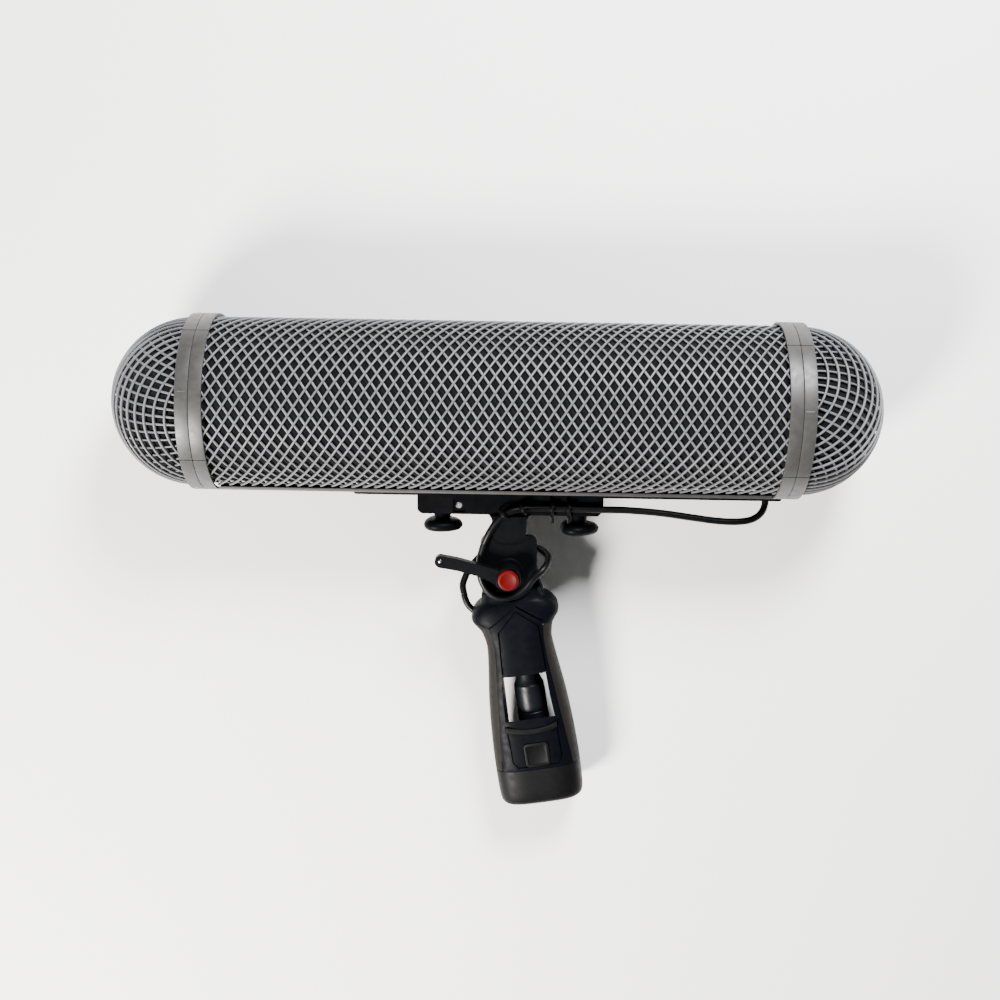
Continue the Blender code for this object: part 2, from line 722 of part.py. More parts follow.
def beyond(side, clear):
    """Everything outside the edge of one rubber, with some clearance to the panel beside it."""
    turn = {"left": -1.0, "right": 1.0}[side]
    outline = [(turn * (u + clear), -s) for s, u in RUBBER_EDGE]
    top, inner = RUBBER_EDGE[0]
    outline[0] = (outline[0][0], -top - clear)
    outline.append((turn * 60, -RUBBER_EDGE[-1][0]))
    outline.append((turn * 60, -top - clear - RUBBER_SLOPE[side] * (60 - inner)))
    return extruded(outline, -40, 40, "y")


def make_grip():
    shell = solid("grip_shell", grip_form(), BLACK_PLASTIC, grip)
    cut(shell, block((-60, -40, -FAR), (60, 40, -FOOT_TOP)))
    for side in RUBBER_SLOPE:
        cut(shell, beyond(side, 0.0))
    for low, high in ((-30, GAP - CHEEK_Y0), (CHEEK_Y0 - GAP, 30)):
        cut(shell, rod(CHEEK_HALF + 0.5, low, high, "y", steps=48))
    neck = ring_arc(TONGUE_R, 0, 180, 24)[1:-1]
    neck += [(-u, -s) for s, u in NECK] + [(u, -s) for s, u in reversed(NECK)]
    join(shell, extruded(neck, GAP - CHEEK_Y0, CHEEK_Y0 - GAP, "y"))
    cut(shell, rod(BOLT_HOLE_R, -40, 40, "y"))
    cut(shell, window_body())
    cut(shell, rod(9.5 + GAP, -PLUG_END - GAP, -80.0, "z", (PLUG_U, 0.0), 32))
    cut(shell, rod(7.6, -WINDOW_TOP - 5, -46.0, "z", (PLUG_U, 0.0)))
    cut(shell, cable_bore())
    cut(shell, lip_body(GAP), badge_body(GAP))


def window_body():
    """The opening through the grip in front of the plug, with a sloping lower wall."""
    face = -17.0
    rings = []
    for y in (-40.0, 40.0):
        low = -WINDOW_LOW - WINDOW_SLOPE * (y - face)
        rings.append([(-13.4, y, -WINDOW_TOP), (13.4, y, -WINDOW_TOP), (15.2, y, low), (-15.2, y, low)])
    return lofted(rings)


def cable_bore():
    """The passage for the cable, from the top of the left hip down to the plug."""
    path = [Vector(p) for p in ROUTE_LOWER]
    rings = []
    for i, point in enumerate(path):
        before, after = path[max(i - 1, 0)], path[min(i + 1, len(path) - 1)]
        along = (after - before).normalized()
        across = along.cross(Vector((0.0, 1.0, 0.0))).normalized()
        other = along.cross(across)
        rings.append([point + across * a + other * b for a, b in ring_arc(2.7, 0, 360, 12)[:-1]])
    return lofted(rings)


def make_side_rubbers():
    for side in RUBBER_SLOPE:
        rubber = solid(f"grip_rubber_{side}", grip_form(), GRIP_BROWN, grip)
        keep_inside(rubber, beyond(side, GAP), block((-60, -40, -FOOT_TOP), (60, 40, 0.0)))


def make_foot():
    foot = solid("grip_foot", grip_form(), GRIP_BROWN, grip)
    cut(foot, block((-60, -40, -FOOT_TOP - GAP), (60, 40, 60.0)))
    cut(foot, rod(8.3, -160, -134.0, "z"))
    low = -GRIP_SECTIONS[-1][0]
    insert = [(low, 4.2), (low, 8.0), (-134.3, 8.0), (-134.3, 4.2)]
    solid("boom_socket", turned(insert, "z", 32), BRASS, grip)


def lip_body(clear):
    """A curved bar across the front, just below the window."""
    path = [(-15.6, -96.8), (-8.0, -98.9), (0.0, -99.6), (8.0, -98.9), (15.6, -96.8)]
    outline = strip(path, 3.4 + 2 * clear)
    reach = 15.6 + clear
    outline = [(math.copysign(reach, x) if abs(x) > 15 else x, z) for x, z in outline]
    return extruded(outline, -18.4 - 10 * clear, -15.0 + clear, "y")


def badge_body(clear):
    outline = rounded_outline(-6.6 - clear, -122.6 - clear, 8.4 + clear, -107.2 + clear, 2.4)
    return extruded(outline, -18.3 - 10 * clear, -15.6 + clear, "y")


def make_face_pieces():
    solid("grip_lip", lip_body(0.0), GRIP_BROWN, grip)
    solid("grip_badge", badge_body(0.0), GRIP_BROWN, grip)


def make_plug():
    top, low = -53.0, -PLUG_END
    profile = [(top, 0.0), (top, 5.6), (-62.0, 6.3), (-70.0, 7.4), (-74.0, 9.2), (-80.0, 9.5)]
    profile += [(low, 9.5), (low, 8.3), (low + 1.2, 8.3), (low + 1.2, 0.0)]
    solid("cable_plug", turned(profile, "z", 32), BLACK_METAL, grip, (PLUG_U, 0.0, 0.0))


# ---------------------------------------------------------------- cable


def make_cable():
    socket = [(94.0, 0.0), (94.0, 9.4), (126.0, 9.4), (129.0, 6.4), (140.6, 4.4), (140.6, 0.0)]
    solid("mic_socket", turned(socket, "x", 32), BLACK_METAL, mount, (0.0, 0.0, 1.0))
    tube_curve("cable_upper", ROUTE_UPPER, mount, CABLE_BLACK)
    tube_curve("cable_loop", ROUTE_LOOP, mount, CABLE_BLACK)
    tube_curve("cable_lower", ROUTE_LOWER, grip, CABLE_BLACK)


def lay_down():
    """Rolls the windshield over until the grip touches the floor that the rings lie on."""
    bpy.context.view_layer.update()
    graph = bpy.context.evaluated_depsgraph_get()
    places = []
    for name in ("grip_foot", "grip_shell", "grip_rubber_left", "grip_rubber_right"):
        seen = bpy.data.objects[name].evaluated_get(graph)
        places += [seen.matrix_world @ vertex.co / MM for vertex in seen.data.vertices]
    roll = math.pi / 2
    for place in places:
        reach = math.hypot(place.y, place.z)
        if reach > RING_R + 20:
            roll = min(roll, math.asin(RING_R / reach) - math.atan2(place.y, -place.z))
    grip_end = min(place.y * math.sin(roll) + place.z * math.cos(roll) for place in places)
    laid_down.rotation_euler = (roll - math.pi / 2, 0.0, 0.0)
    laid_down.location = (0.0, -(RING_R + grip_end) / 2 * MM, RING_R * MM)


make_tube()
make_collars()
make_rails()
make_caps()
make_bar()
make_clamp_nuts()
make_lyres()
make_bracket()
make_bracket_trims()
make_hooks()
make_knobs()
make_swivel()
make_lever()
make_grip()
make_side_rubbers()
make_foot()
make_face_pieces()
make_plug()
make_cable()
lay_down()
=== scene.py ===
"""Looks of a basket windshield for a shotgun microphone, lying on its side on a pale floor.

Pieces are made in the windshield's own frame, in millimetres: X along the tube towards its rear,
Z from the grip up to the tube's axis, Y away from the clamp lever. LAY turns that frame into the
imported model's, and GRIP does the same for the pistol grip's frame, whose -Z runs down the grip.
"""

import json
import math

import bmesh
import bpy
import numpy as np
from mathutils import Matrix, Vector
from mathutils.geometry import interpolate_bezier


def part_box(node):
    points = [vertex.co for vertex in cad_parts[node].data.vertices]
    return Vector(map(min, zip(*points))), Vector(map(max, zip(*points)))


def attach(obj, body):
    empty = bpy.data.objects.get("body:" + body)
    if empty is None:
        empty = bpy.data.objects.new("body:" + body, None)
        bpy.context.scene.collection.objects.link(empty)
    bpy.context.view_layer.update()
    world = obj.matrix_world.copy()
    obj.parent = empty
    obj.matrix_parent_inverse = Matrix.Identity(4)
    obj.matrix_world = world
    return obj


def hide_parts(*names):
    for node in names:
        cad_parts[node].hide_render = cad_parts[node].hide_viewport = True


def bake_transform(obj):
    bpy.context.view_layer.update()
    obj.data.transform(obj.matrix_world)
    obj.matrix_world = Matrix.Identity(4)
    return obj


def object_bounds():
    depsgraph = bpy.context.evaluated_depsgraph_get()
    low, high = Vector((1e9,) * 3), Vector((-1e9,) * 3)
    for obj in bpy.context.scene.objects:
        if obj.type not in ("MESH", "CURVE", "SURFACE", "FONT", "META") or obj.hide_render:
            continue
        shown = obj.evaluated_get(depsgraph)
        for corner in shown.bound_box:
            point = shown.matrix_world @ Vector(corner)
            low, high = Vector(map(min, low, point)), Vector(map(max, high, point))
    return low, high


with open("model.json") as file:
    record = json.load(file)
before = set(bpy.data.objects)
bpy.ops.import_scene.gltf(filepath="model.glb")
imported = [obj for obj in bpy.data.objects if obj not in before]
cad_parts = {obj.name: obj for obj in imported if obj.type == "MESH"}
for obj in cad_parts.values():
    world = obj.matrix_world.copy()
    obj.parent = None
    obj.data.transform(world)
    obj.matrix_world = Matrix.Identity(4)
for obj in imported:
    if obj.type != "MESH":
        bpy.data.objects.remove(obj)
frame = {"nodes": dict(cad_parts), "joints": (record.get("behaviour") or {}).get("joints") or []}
cad_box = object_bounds()
joints = {joint["name"]: joint for joint in frame["joints"]}

MM = 0.001
GAP = 0.3
SIDES = {"front": -1.0, "rear": 1.0}


# ---- frames


def design_frame():
    """The windshield's own frame, from the swivel's axis and the centre of a ring."""
    low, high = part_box("front_cap_collar")
    centre = (low + high) / 2
    across = Vector(joints["swivel"]["axis"]).normalized()
    along = Vector((1.0, 0.0, 0.0))
    up = along.cross(across)
    turn = Matrix((along, across, up)).transposed().to_4x4()
    return Matrix.Translation((0.0, centre.y, centre.z)) @ turn @ Matrix.Scale(MM, 4)


LAY = design_frame()
PIVOT = LAY.inverted() @ Vector(joints["swivel"]["pos_m"])
GRIP_TILT = math.radians(9.3)
GRIP = LAY @ Matrix.Translation(PIVOT) @ Matrix.Rotation(-GRIP_TILT, 4, "Y")
LEVER = LAY @ Matrix.Translation(PIVOT)


# ---- camera

LENS_MM = 47.88
CAMERA_PLACE = (0.01223, 0.00890, 0.83859)  # in metres, from the tube's axis in Y
CAMERA_TURN = (-0.08156, 0.01240, 0.01717)  # the axis of its turn, as long as its angle in radians


def placed(name, data):
    """An object of this data, in the scene."""
    thing = bpy.data.objects.new(name, data)
    bpy.context.scene.collection.objects.link(thing)
    return thing


def make_camera():
    """Above the windshield, a little towards the grip, looking down."""
    data = bpy.data.cameras.new("camera")
    data.lens = LENS_MM
    data.sensor_width = 36.0
    camera = placed("camera", data)
    place = Vector(CAMERA_PLACE) + Vector((0.0, LAY.translation.y, 0.0))
    turn = Vector(CAMERA_TURN)
    camera.matrix_world = Matrix.Translation(place) @ Matrix.Rotation(turn.length, 4, turn.normalized())
    bpy.context.scene.camera = camera


make_camera()


# ---- materials

STRIPE = 0.31416  # a wave texture of this scale has one stripe to each metre


class Look:
    """A material and the few node-making steps that the looks share."""

    def __init__(self, name, colour, roughness, metallic=0.0, specular=0.5):
        self.material = bpy.data.materials.new(name)
        self.material.use_nodes = True
        self.nodes = self.material.node_tree.nodes
        self.links = self.material.node_tree.links
        self.shader = self.nodes["Principled BSDF"]
        self.colour = colour
        self.shader.inputs["Base Color"].default_value = (*colour, 1.0)
        self.shader.inputs["Roughness"].default_value = roughness
        self.shader.inputs["Metallic"].default_value = metallic
        self.shader.inputs["Specular IOR Level"].default_value = specular
        self.place = self.nodes.new("ShaderNodeTexCoord").outputs["Object"]
        self.height = None

    def texture(self, kind, settings, **mapping):
        """A texture node on the piece's own coordinates."""
        step = self.nodes.new("ShaderNodeMapping")
        texture = self.nodes.new(kind)
        for node, numbers in ((step, mapping), (texture, settings)):
            for name, number in numbers.items():
                node.inputs[name].default_value = number
        self.links.new(self.place, step.inputs["Vector"])
        self.links.new(step.outputs["Vector"], texture.inputs["Vector"])
        return texture

    def noise(self, size, detail=3.0, stretch=(1.0, 1.0, 1.0), rough=0.5):
        """Noise whose features are about this size in millimetres."""
        settings = {"Scale": 1.0 / (size * MM), "Detail": detail, "Roughness": rough}
        return self.texture("ShaderNodeTexNoise", settings, Scale=stretch).outputs["Fac"]

    def wave(self, size, direction, turn=(0.0, 0.0, 0.0)):
        """Slightly uneven stripes, about this far apart in millimetres."""
        settings = {"Scale": STRIPE / (size * MM), "Distortion": 0.6, "Detail": 1.0}
        texture = self.texture("ShaderNodeTexWave", settings, Rotation=turn)
        texture.bands_direction = direction
        return texture.outputs["Fac"]

    def ramp(self, value, low, high, first, last):
        """Maps the stretch from low to high of a value onto two numbers."""
        step = self.nodes.new("ShaderNodeMapRange")
        for name, number in zip(("From Min", "From Max", "To Min", "To Max"), (low, high, first, last)):
            step.inputs[name].default_value = number
        self.links.new(value, step.inputs["Value"])
        return step.outputs["Result"]

    def vary_colour(self, value, darker, lighter, low=0.3, high=0.7):
        """The base colour, from a darker to a lighter shade of itself."""
        mix = self.nodes.new("ShaderNodeMix")
        mix.data_type = "RGBA"
        for name, share in (("A", darker), ("B", lighter)):
            mix.inputs[name].default_value = (*(channel * share for channel in self.colour), 1.0)
        self.links.new(self.ramp(value, low, high, 0.0, 1.0), mix.inputs["Factor"])
        self.links.new(mix.outputs["Result"], self.shader.inputs["Base Color"])

    def vary_roughness(self, value, first, last):
        self.links.new(self.ramp(value, 0.3, 0.7, first, last), self.shader.inputs["Roughness"])

    def bump(self, value, depth, strength=1.0):
        """Adds relief of this depth in millimetres, over any that is there already."""
        step = self.nodes.new("ShaderNodeBump")
        step.inputs["Distance"].default_value = depth * MM
        step.inputs["Strength"].default_value = strength
        self.links.new(value, step.inputs["Height"])
        if self.height is not None:
            self.links.new(self.height, step.inputs["Normal"])
        self.height = step.outputs["Normal"]
        self.links.new(self.height, self.shader.inputs["Normal"])

    def combine(self, operation, first, second):
        step = self.nodes.new("ShaderNodeMath")
        step.operation = operation
        self.links.new(first, step.inputs[0])
        self.links.new(second, step.inputs[1])
        return step.outputs[0]


def moulded(name, colour, roughness, grain, depth, mottle, specular=0.5):
    """Moulded plastic: a fine grain, a slight unevenness of colour and gloss."""
    look = Look(name, colour, roughness, specular=specular)
    look.vary_colour(look.noise(9.0, 4.0), 1.0 - mottle, 1.0 + mottle)
    look.vary_roughness(look.noise(4.0, 3.0), roughness * 0.85, roughness * 1.15)
    look.bump(look.noise(grain, 2.0), depth, 0.6)
    return look.material


def cloth(name, colour):
    """Thin acoustic cloth: crossed threads, loose fibres and a mottled lie."""
    look = Look(name, colour, 0.95, specular=0.1)
    threads = look.combine("ADD", look.wave(0.55, "X"), look.wave(0.55, "Y", (0.0, 0.0, 0.4)))
    patches = look.noise(1.1, 4.0, rough=0.65)
    mottle = look.combine("MULTIPLY", patches, look.ramp(threads, 0.0, 2.0, 0.7, 1.3))
    look.vary_colour(mottle, 0.4, 2.6, 0.40, 0.70)
    look.bump(threads, 0.12, 0.7)
    look.bump(look.noise(0.8, 3.0), 0.15, 0.5)
    look.shader.inputs["Sheen Weight"].default_value = 0.05
    look.shader.inputs["Sheen Roughness"].default_value = 0.6
    return look.material


def soft_rubber(name, colour, roughness, specular):
    """Soft-touch rubber: a fine leathery grain, lighter where it is handled."""
    look = Look(name, colour, roughness, specular=specular)
    look.vary_colour(look.noise(14.0, 3.0, (1.0, 0.5, 1.0)), 0.86, 1.16)
    look.vary_roughness(look.noise(3.0, 3.0), roughness * 0.9, roughness * 1.12)
    look.bump(look.noise(0.5, 2.0), 0.06, 0.7)
    return look.material


def metal(name, colour, roughness, metallic=1.0, specular=0.5):
    """Bare or painted metal: a faint unevenness, and hardly any relief."""
    look = Look(name, colour, roughness, metallic, specular)
    look.vary_colour(look.noise(5.0, 3.0), 0.9, 1.08)
    look.vary_roughness(look.noise(2.0, 4.0), roughness * 0.8, roughness * 1.25)
    look.bump(look.noise(0.25, 2.0), 0.008, 0.5)
    return look.material


# roughness, size and depth of the grain, mottle, specular level
NET_GREY = moulded("net_grey", (0.092, 0.095, 0.103), 0.42, 0.6, 0.05, 0.07)
RING_GREY = moulded("ring_grey", (0.027, 0.026, 0.0245), 0.45, 0.3, 0.02, 0.05)
RAIL_GREY = moulded("rail_grey", (0.032, 0.032, 0.031), 0.45, 0.3, 0.02, 0.06)
BLACK_PLASTIC = moulded("black_plastic", (0.0016, 0.0018, 0.0023), 0.42, 0.25, 0.02, 0.10, 0.04)
GRIP_BLACK = moulded("grip_black", (0.0012, 0.0015, 0.0027), 0.45, 0.3, 0.03, 0.15, 0.04)
BUTTON_RED = moulded("button_red", (0.062, 0.0002, 0.0005), 0.45, 0.5, 0.01, 0.04, 0.1)
LINER_BLACK = cloth("liner_black", (0.0012, 0.0012, 0.0016))
GRIP_BROWN = soft_rubber("grip_brown", (0.0072, 0.0062, 0.0050), 0.62, 0.10)
FOOT_BROWN = soft_rubber("foot_brown", (0.0019, 0.0020, 0.0023), 0.5, 0.09)
BAND_BLACK = soft_rubber("band_black", (0.0014, 0.0014, 0.0015), 0.4, 0.10)
CABLE_BLACK = soft_rubber("cable_black", (0.0014, 0.0015, 0.0019), 0.38, 0.14)
BLACK_METAL = metal("black_metal", (0.0018, 0.0021, 0.0028), 0.42, 0.0, 0.045)
SHELL_GREY = metal("shell_grey", (0.0032, 0.0038, 0.0055), 0.38, 0.0, 0.14)
STEEL = metal("steel", (0.62, 0.62, 0.63), 0.25)
BRASS = metal("brass", (0.60, 0.43, 0.18), 0.3)


# ---- shapes


def ring_arc(radius, first, last, steps, centre=(0.0, 0.0)):
    """Points on an arc, angles in degrees."""
    points = []
    for i in range(steps + 1):
        angle = math.radians(first + (last - first) * i / steps)
        points.append((centre[0] + radius * math.cos(angle), centre[1] + radius * math.sin(angle)))
    return points


def rounded_outline(x0, z0, x1, z1, radius, steps=8):
    """A rectangle with round corners, anticlockwise."""
    left, right, low, high = x0 + radius, x1 - radius, z0 + radius, z1 - radius
    points = []
    for k, centre in enumerate(((right, high), (left, high), (left, low), (right, low))):
        points += ring_arc(radius, 90 * k, 90 * (k + 1), steps, centre)
    return points


def filleted(outline, radius, steps=3):
    """A closed outline with each corner rounded by up to this radius."""
    count = len(outline)
    points = []
    for i in range(count):
        before, corner, after = (Vector(outline[(i + k) % count]) for k in (-1, 0, 1))
        reach = min(radius, (before - corner).length * 0.45, (after - corner).length * 0.45)
        start = corner + (before - corner).normalized() * reach
        end = corner + (after - corner).normalized() * reach
        for k in range(steps + 1):
            t = k / steps
            points.append(tuple(start * (1 - t) ** 2 + corner * 2 * t * (1 - t) + end * t**2))
    return points


def along_axis(axis, a, b, h):
    return {"x": (h, a, b), "y": (a, h, b), "z": (a, b, h)}[axis]


def lofted(rings, looped=False):
    """A closed skin over rings with the same number of points, capped or looped round to the first."""
    bm = bmesh.new()
    rows = [[bm.verts.new(point) for point in ring] for ring in rings]
    for row, after in zip(rows, rows[1:] + rows[:looped]):
        for i in range(len(row)):
            j = (i + 1) % len(row)
            bm.faces.new((row[i], row[j], after[j], after[i]))
    if not looped:
        bm.faces.new(rows[0])
        bm.faces.new(rows[-1])
    bmesh.ops.recalc_face_normals(bm, faces=bm.faces)
    return bm


def extruded(outline, low, high, axis):
    """A closed outline made solid, from low to high along an axis."""
    return lofted([[along_axis(axis, a, b, h) for a, b in outline] for h in (low, high)])


def framed(outer, inner, low, high, axis):
    """A closed frame between two outlines with the same number of points."""
    levels = ((outer, low), (outer, high), (inner, high), (inner, low))
    return lofted([[along_axis(axis, a, b, h) for a, b in outline] for outline, h in levels], True)


def block(low, high):
    """A box, for cutting or joining."""
    outline = ((low[0], low[1]), (high[0], low[1]), (high[0], high[1]), (low[0], high[1]))
    return extruded(outline, low[2], high[2], "z")


def turned(profile, axis="x", steps=96, first=0.0, last=360.0):
    """Turns a closed profile of (height, radius) points about an axis, all round or in part."""
    bm = bmesh.new()
    whole = abs(last - first - 360.0) < 1e-6
    places = ring_arc(1.0, first, last, steps)
    if whole:
        places = places[:-1]
    rows = []
    for height, radius in profile:
        if radius < 1e-6:
            rows.append([bm.verts.new(along_axis(axis, 0.0, 0.0, height))] * len(places))
            continue
        rows.append([bm.verts.new(along_axis(axis, radius * a, radius * b, height)) for a, b in places])
    for k, row in enumerate(rows):
        after = rows[(k + 1) % len(rows)]
        for i in range(len(places) if whole else len(places) - 1):
            j = (i + 1) % len(places)
            corners = list(dict.fromkeys((row[i], row[j], after[j], after[i])))
            if len(corners) > 2:
                bm.faces.new(corners)
    if not whole:
        bm.faces.new([row[0] for row in rows])
        bm.faces.new([row[-1] for row in rows])
    bmesh.ops.recalc_face_normals(bm, faces=bm.faces)
    return bm


def rod(radius, low, high, axis="y", centre=(0.0, 0.0), steps=48):
    """A round bar along an axis."""
    return extruded(ring_arc(radius, 0, 360, steps, centre)[:-1], low, high, axis)


def offset_path(path, distance, closed):
    """The path moved sideways, to its left, with mitred corners."""
    count = len(path)
    moved = []
    for i, point in enumerate(path):
        point = Vector(point)
        normals = []
        if closed or i > 0:
            step = (point - Vector(path[i - 1])).normalized()
            normals.append(Vector((-step.y, step.x)))
        if closed or i < count - 1:
            step = (Vector(path[(i + 1) % count]) - point).normalized()
            normals.append(Vector((-step.y, step.x)))
        normal = sum(normals, Vector((0.0, 0.0))).normalized()
        reach = distance / max(normal.dot(normals[0]), 0.4)
        moved.append(tuple(point + normal * reach))
    return moved


def smooth_path(points, steps=2):
    """Points along a curve through the given points, a few to each span."""
    points = [Vector(p) for p in points]
    count = len(points)
    slopes = []
    for i in range(count):
        before, after = points[max(i - 1, 0)], points[min(i + 1, count - 1)]
        slopes.append((after - before) / (2 if 0 < i < count - 1 else 1))
    path = []
    for i in range(count - 1):
        knot, end = points[i], points[i + 1]
        span = interpolate_bezier(knot, knot + slopes[i] / 3, end - slopes[i + 1] / 3, end, steps + 1)
        path += span[:-1]
    return path + [points[-1]]


def sweep(points, outward, half_width, half_height, sides=8, squareness=0.7):
    """Vertices and faces of a strand along points, with its height along the outward directions."""
    points = np.asarray(points, float)
    outward = np.asarray(outward, float)
    along = np.gradient(points, axis=0)
    along /= np.linalg.norm(along, axis=1)[:, None]
    outward = outward - along * (outward * along).sum(1)[:, None]
    outward /= np.linalg.norm(outward, axis=1)[:, None]
    across = np.cross(along, outward)
    angles = 2 * np.pi * (np.arange(sides) + 0.5) / sides
    a = np.sign(np.cos(angles)) * np.abs(np.cos(angles)) ** squareness * half_width
    b = np.sign(np.sin(angles)) * np.abs(np.sin(angles)) ** squareness * half_height
    rings = points[:, None] + across[:, None] * a[None, :, None] + outward[:, None] * b[None, :, None]
    count = len(points)
    faces = []
    for i in range(count - 1):
        for j in range(sides):
            k = (j + 1) % sides
            faces.append((i * sides + j, i * sides + k, (i + 1) * sides + k, (i + 1) * sides + j))
    faces.append(tuple(range(sides))[::-1])
    faces.append(tuple((count - 1) * sides + j for j in range(sides)))
    return rings.reshape(-1, 3), faces


def gathered(parts):
    """One bmesh from many (vertices, faces) pairs."""
    vertices, faces, start = [], [], 0
    for points, quads in parts:
        vertices.append(points)
        faces += [tuple(start + i for i in quad) for quad in quads]
        start += len(points)
    mesh = bpy.data.meshes.new("gathered")
    mesh.from_pydata(np.concatenate(vertices).tolist(), [], faces)
    bm = bmesh.new()
    bm.from_mesh(mesh)
    bpy.data.meshes.remove(mesh)
    bmesh.ops.recalc_face_normals(bm, faces=bm.faces)
    return bm


# ---- pieces


def linked(name, bm):
    """A bmesh made into a piece of the scene."""
    mesh = bpy.data.meshes.new(name)
    bm.to_mesh(mesh)
    bm.free()
    return placed(name, mesh)


def shaped(name, bm, joined=(), cutters=(), within=(), bevel=0.0, segments=2):
    """A piece from a form, those joined to it, those cut from it, and rounded edges."""
    piece = linked(name, bm)
    tools = []
    for operation, forms in (("UNION", joined), ("INTERSECT", within), ("DIFFERENCE", cutters)):
        for form in forms:
            tool = linked(f"{name}_tool", form)
            tools.append(tool)
            step = piece.modifiers.new("step", "BOOLEAN")
            step.operation = operation
            step.object = tool
    if bevel:
        edge = piece.modifiers.new("edge", "BEVEL")
        edge.width = bevel
        edge.segments = segments
        edge.limit_method = "ANGLE"
        edge.angle_limit = math.radians(38)
    bpy.context.view_layer.update()
    graph = bpy.context.evaluated_depsgraph_get()
    mesh = bpy.data.meshes.new_from_object(piece.evaluated_get(graph))
    piece.modifiers.clear()
    piece.data = mesh
    for tool in tools:
        bpy.data.objects.remove(tool, do_unlink=True)
    return piece


def finish(piece, look, body, *nodes, place=LAY, sharp=32):
    """Puts a piece in place, says what it is made of and rides on, and hides the model's pieces that it
    stands for.
    """
    piece.data.transform(place)
    piece.data.materials.clear()
    piece.data.materials.append(look)
    for face in piece.data.polygons:
        face.use_smooth = True
    piece.data.set_sharp_from_angle(angle=math.radians(sharp))
    piece.data.update()
    if body:
        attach(piece, body)
    if nodes:
        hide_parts(*nodes)


# ---- cable

CABLE_R = 2.1
CABLE_OVERLAP = 0.24  # closes the clearance between the cable's modelled lengths
ROUTE_UPPER = (
    (141.0, 0.0, 1.0), (147.0, 0.0, -0.5), (153.5, 0.0, -6.0), (158.5, 0.0, -16.0),
    (161.0, 0.0, -30.0), (161.8, 0.0, -46.0), (161.2, -1.0, -56.0), (158.6, -4.0, -61.0),
    (153.0, -7.0, -64.2), (144.3, -9.5, -65.2), (131.6, -11.0, -64.6), (117.2, -12.2, -62.6),
    (98.7, -13.2, -60.0), (79.8, -13.5, -58.6), (64.5, -13.5, -58.4), (46.8, -13.5, -58.3),
    (32.0, -13.5, -58.2), (21.0, -14.2, -58.2), (14.4, -15.8, -58.6), (9.1, -16.6, -60.0),
    (4.6, -16.6, -62.8), (0.7, -16.5, -67.0), (-3.1, -16.1, -73.4), (-5.8, -15.0, -79.6),
)
ROUTE_LOOP = (
    (-6.0, -15.0, -80.2), (-7.6, -15.0, -86.0), (-8.4, -15.0, -92.0), (-8.2, -15.0, -98.2),
    (-6.9, -15.0, -103.6), (-3.9, -15.0, -108.6), (0.6, -15.0, -112.3), (6.4, -15.0, -113.6),
    (12.6, -15.0, -112.0), (18.4, -15.0, -107.6), (23.6, -15.3, -100.9), (29.2, -13.8, -96.0),
    (32.4, -7.6, -92.8), (32.6, 0.0, -91.6), (31.0, 7.0, -91.2), (28.0, 13.2, -90.6),
    (21.8, 17.6, -89.6), (12.0, 18.0, -88.6), (3.0, 17.8, -89.2), (-5.6, 16.4, -93.2),
    (-12.4, 13.2, -99.4), (-16.9, 9.8, -105.7), (-19.2, 6.9, -112.0), (-18.5, 5.5, -116.9),
)
# in the grip's frame
ROUTE_LOWER = (
    (-29.7, 5.4, -13.8), (-29.3, 4.6, -17.2), (-28.2, 4.0, -20.6), (-25.8, 3.2, -23.8),
    (-21.4, 2.0, -27.2), (-14.6, 0.8, -31.4), (-7.6, 0.0, -36.2), (-1.8, 0.0, -41.4),
    (1.0, 0.0, -46.8), (1.6, 0.0, -52.4),
)


def cable_tube(name, path):
    """A round tube with filled ends, its rings turned as little as possible along the way."""
    sides = 16
    rings = []
    side = None
    for i, point in enumerate(path):
        along = (path[min(i + 1, len(path) - 1)] - path[max(i - 1, 0)]).normalized()
        if side is None:
            side = along.orthogonal()
        side = (side - along * side.dot(along)).normalized()
        other = along.cross(side)
        rings.append([point + side * a + other * b for a, b in ring_arc(CABLE_R, 0, 360, sides)[:-1]])
    return linked(name, lofted(rings))


def make_cable():
    """The cable's three lengths: along the mount, round the swivel, and inside the grip."""
    for name, route, place, body in (
        ("cable_upper", ROUTE_UPPER, LAY, "mount"),
        ("cable_loop", ROUTE_LOOP, LAY, None),
        ("cable_lower", ROUTE_LOWER, GRIP, "grip"),
    ):
        path = smooth_path(route, 5)
        first = path[0] + (path[0] - path[1]).normalized() * CABLE_OVERLAP
        last = path[-1] + (path[-1] - path[-2]).normalized() * CABLE_OVERLAP
        piece = cable_tube(f"{name}_sheath", [first] + path[1:-1] + [last])
        finish(piece, CABLE_BLACK, body, name, place=place)
        if body is None:
            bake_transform(piece)


make_cable()


# ---- net

NET_R = 50.0
NET_END = 166.7
DOME_R = 49.6
DOME_X = 176.6
STRANDS = 31  # round the tube, in each layer
LEAD = 204.6  # along the tube, for one turn of a strand
STRAND_W = 0.64  # half the width of a strand
STRAND_H, INNER_H = 0.7, 0.65  # half the height of a strand, in the outer layer and the inner one
OUTER_SINK, INNER_SINK = 0.75, 1.95  # from the net's outside to the middle of a layer
SLOT_ANGLE = 17.6  # degrees each side of the bottom that the strands leave free


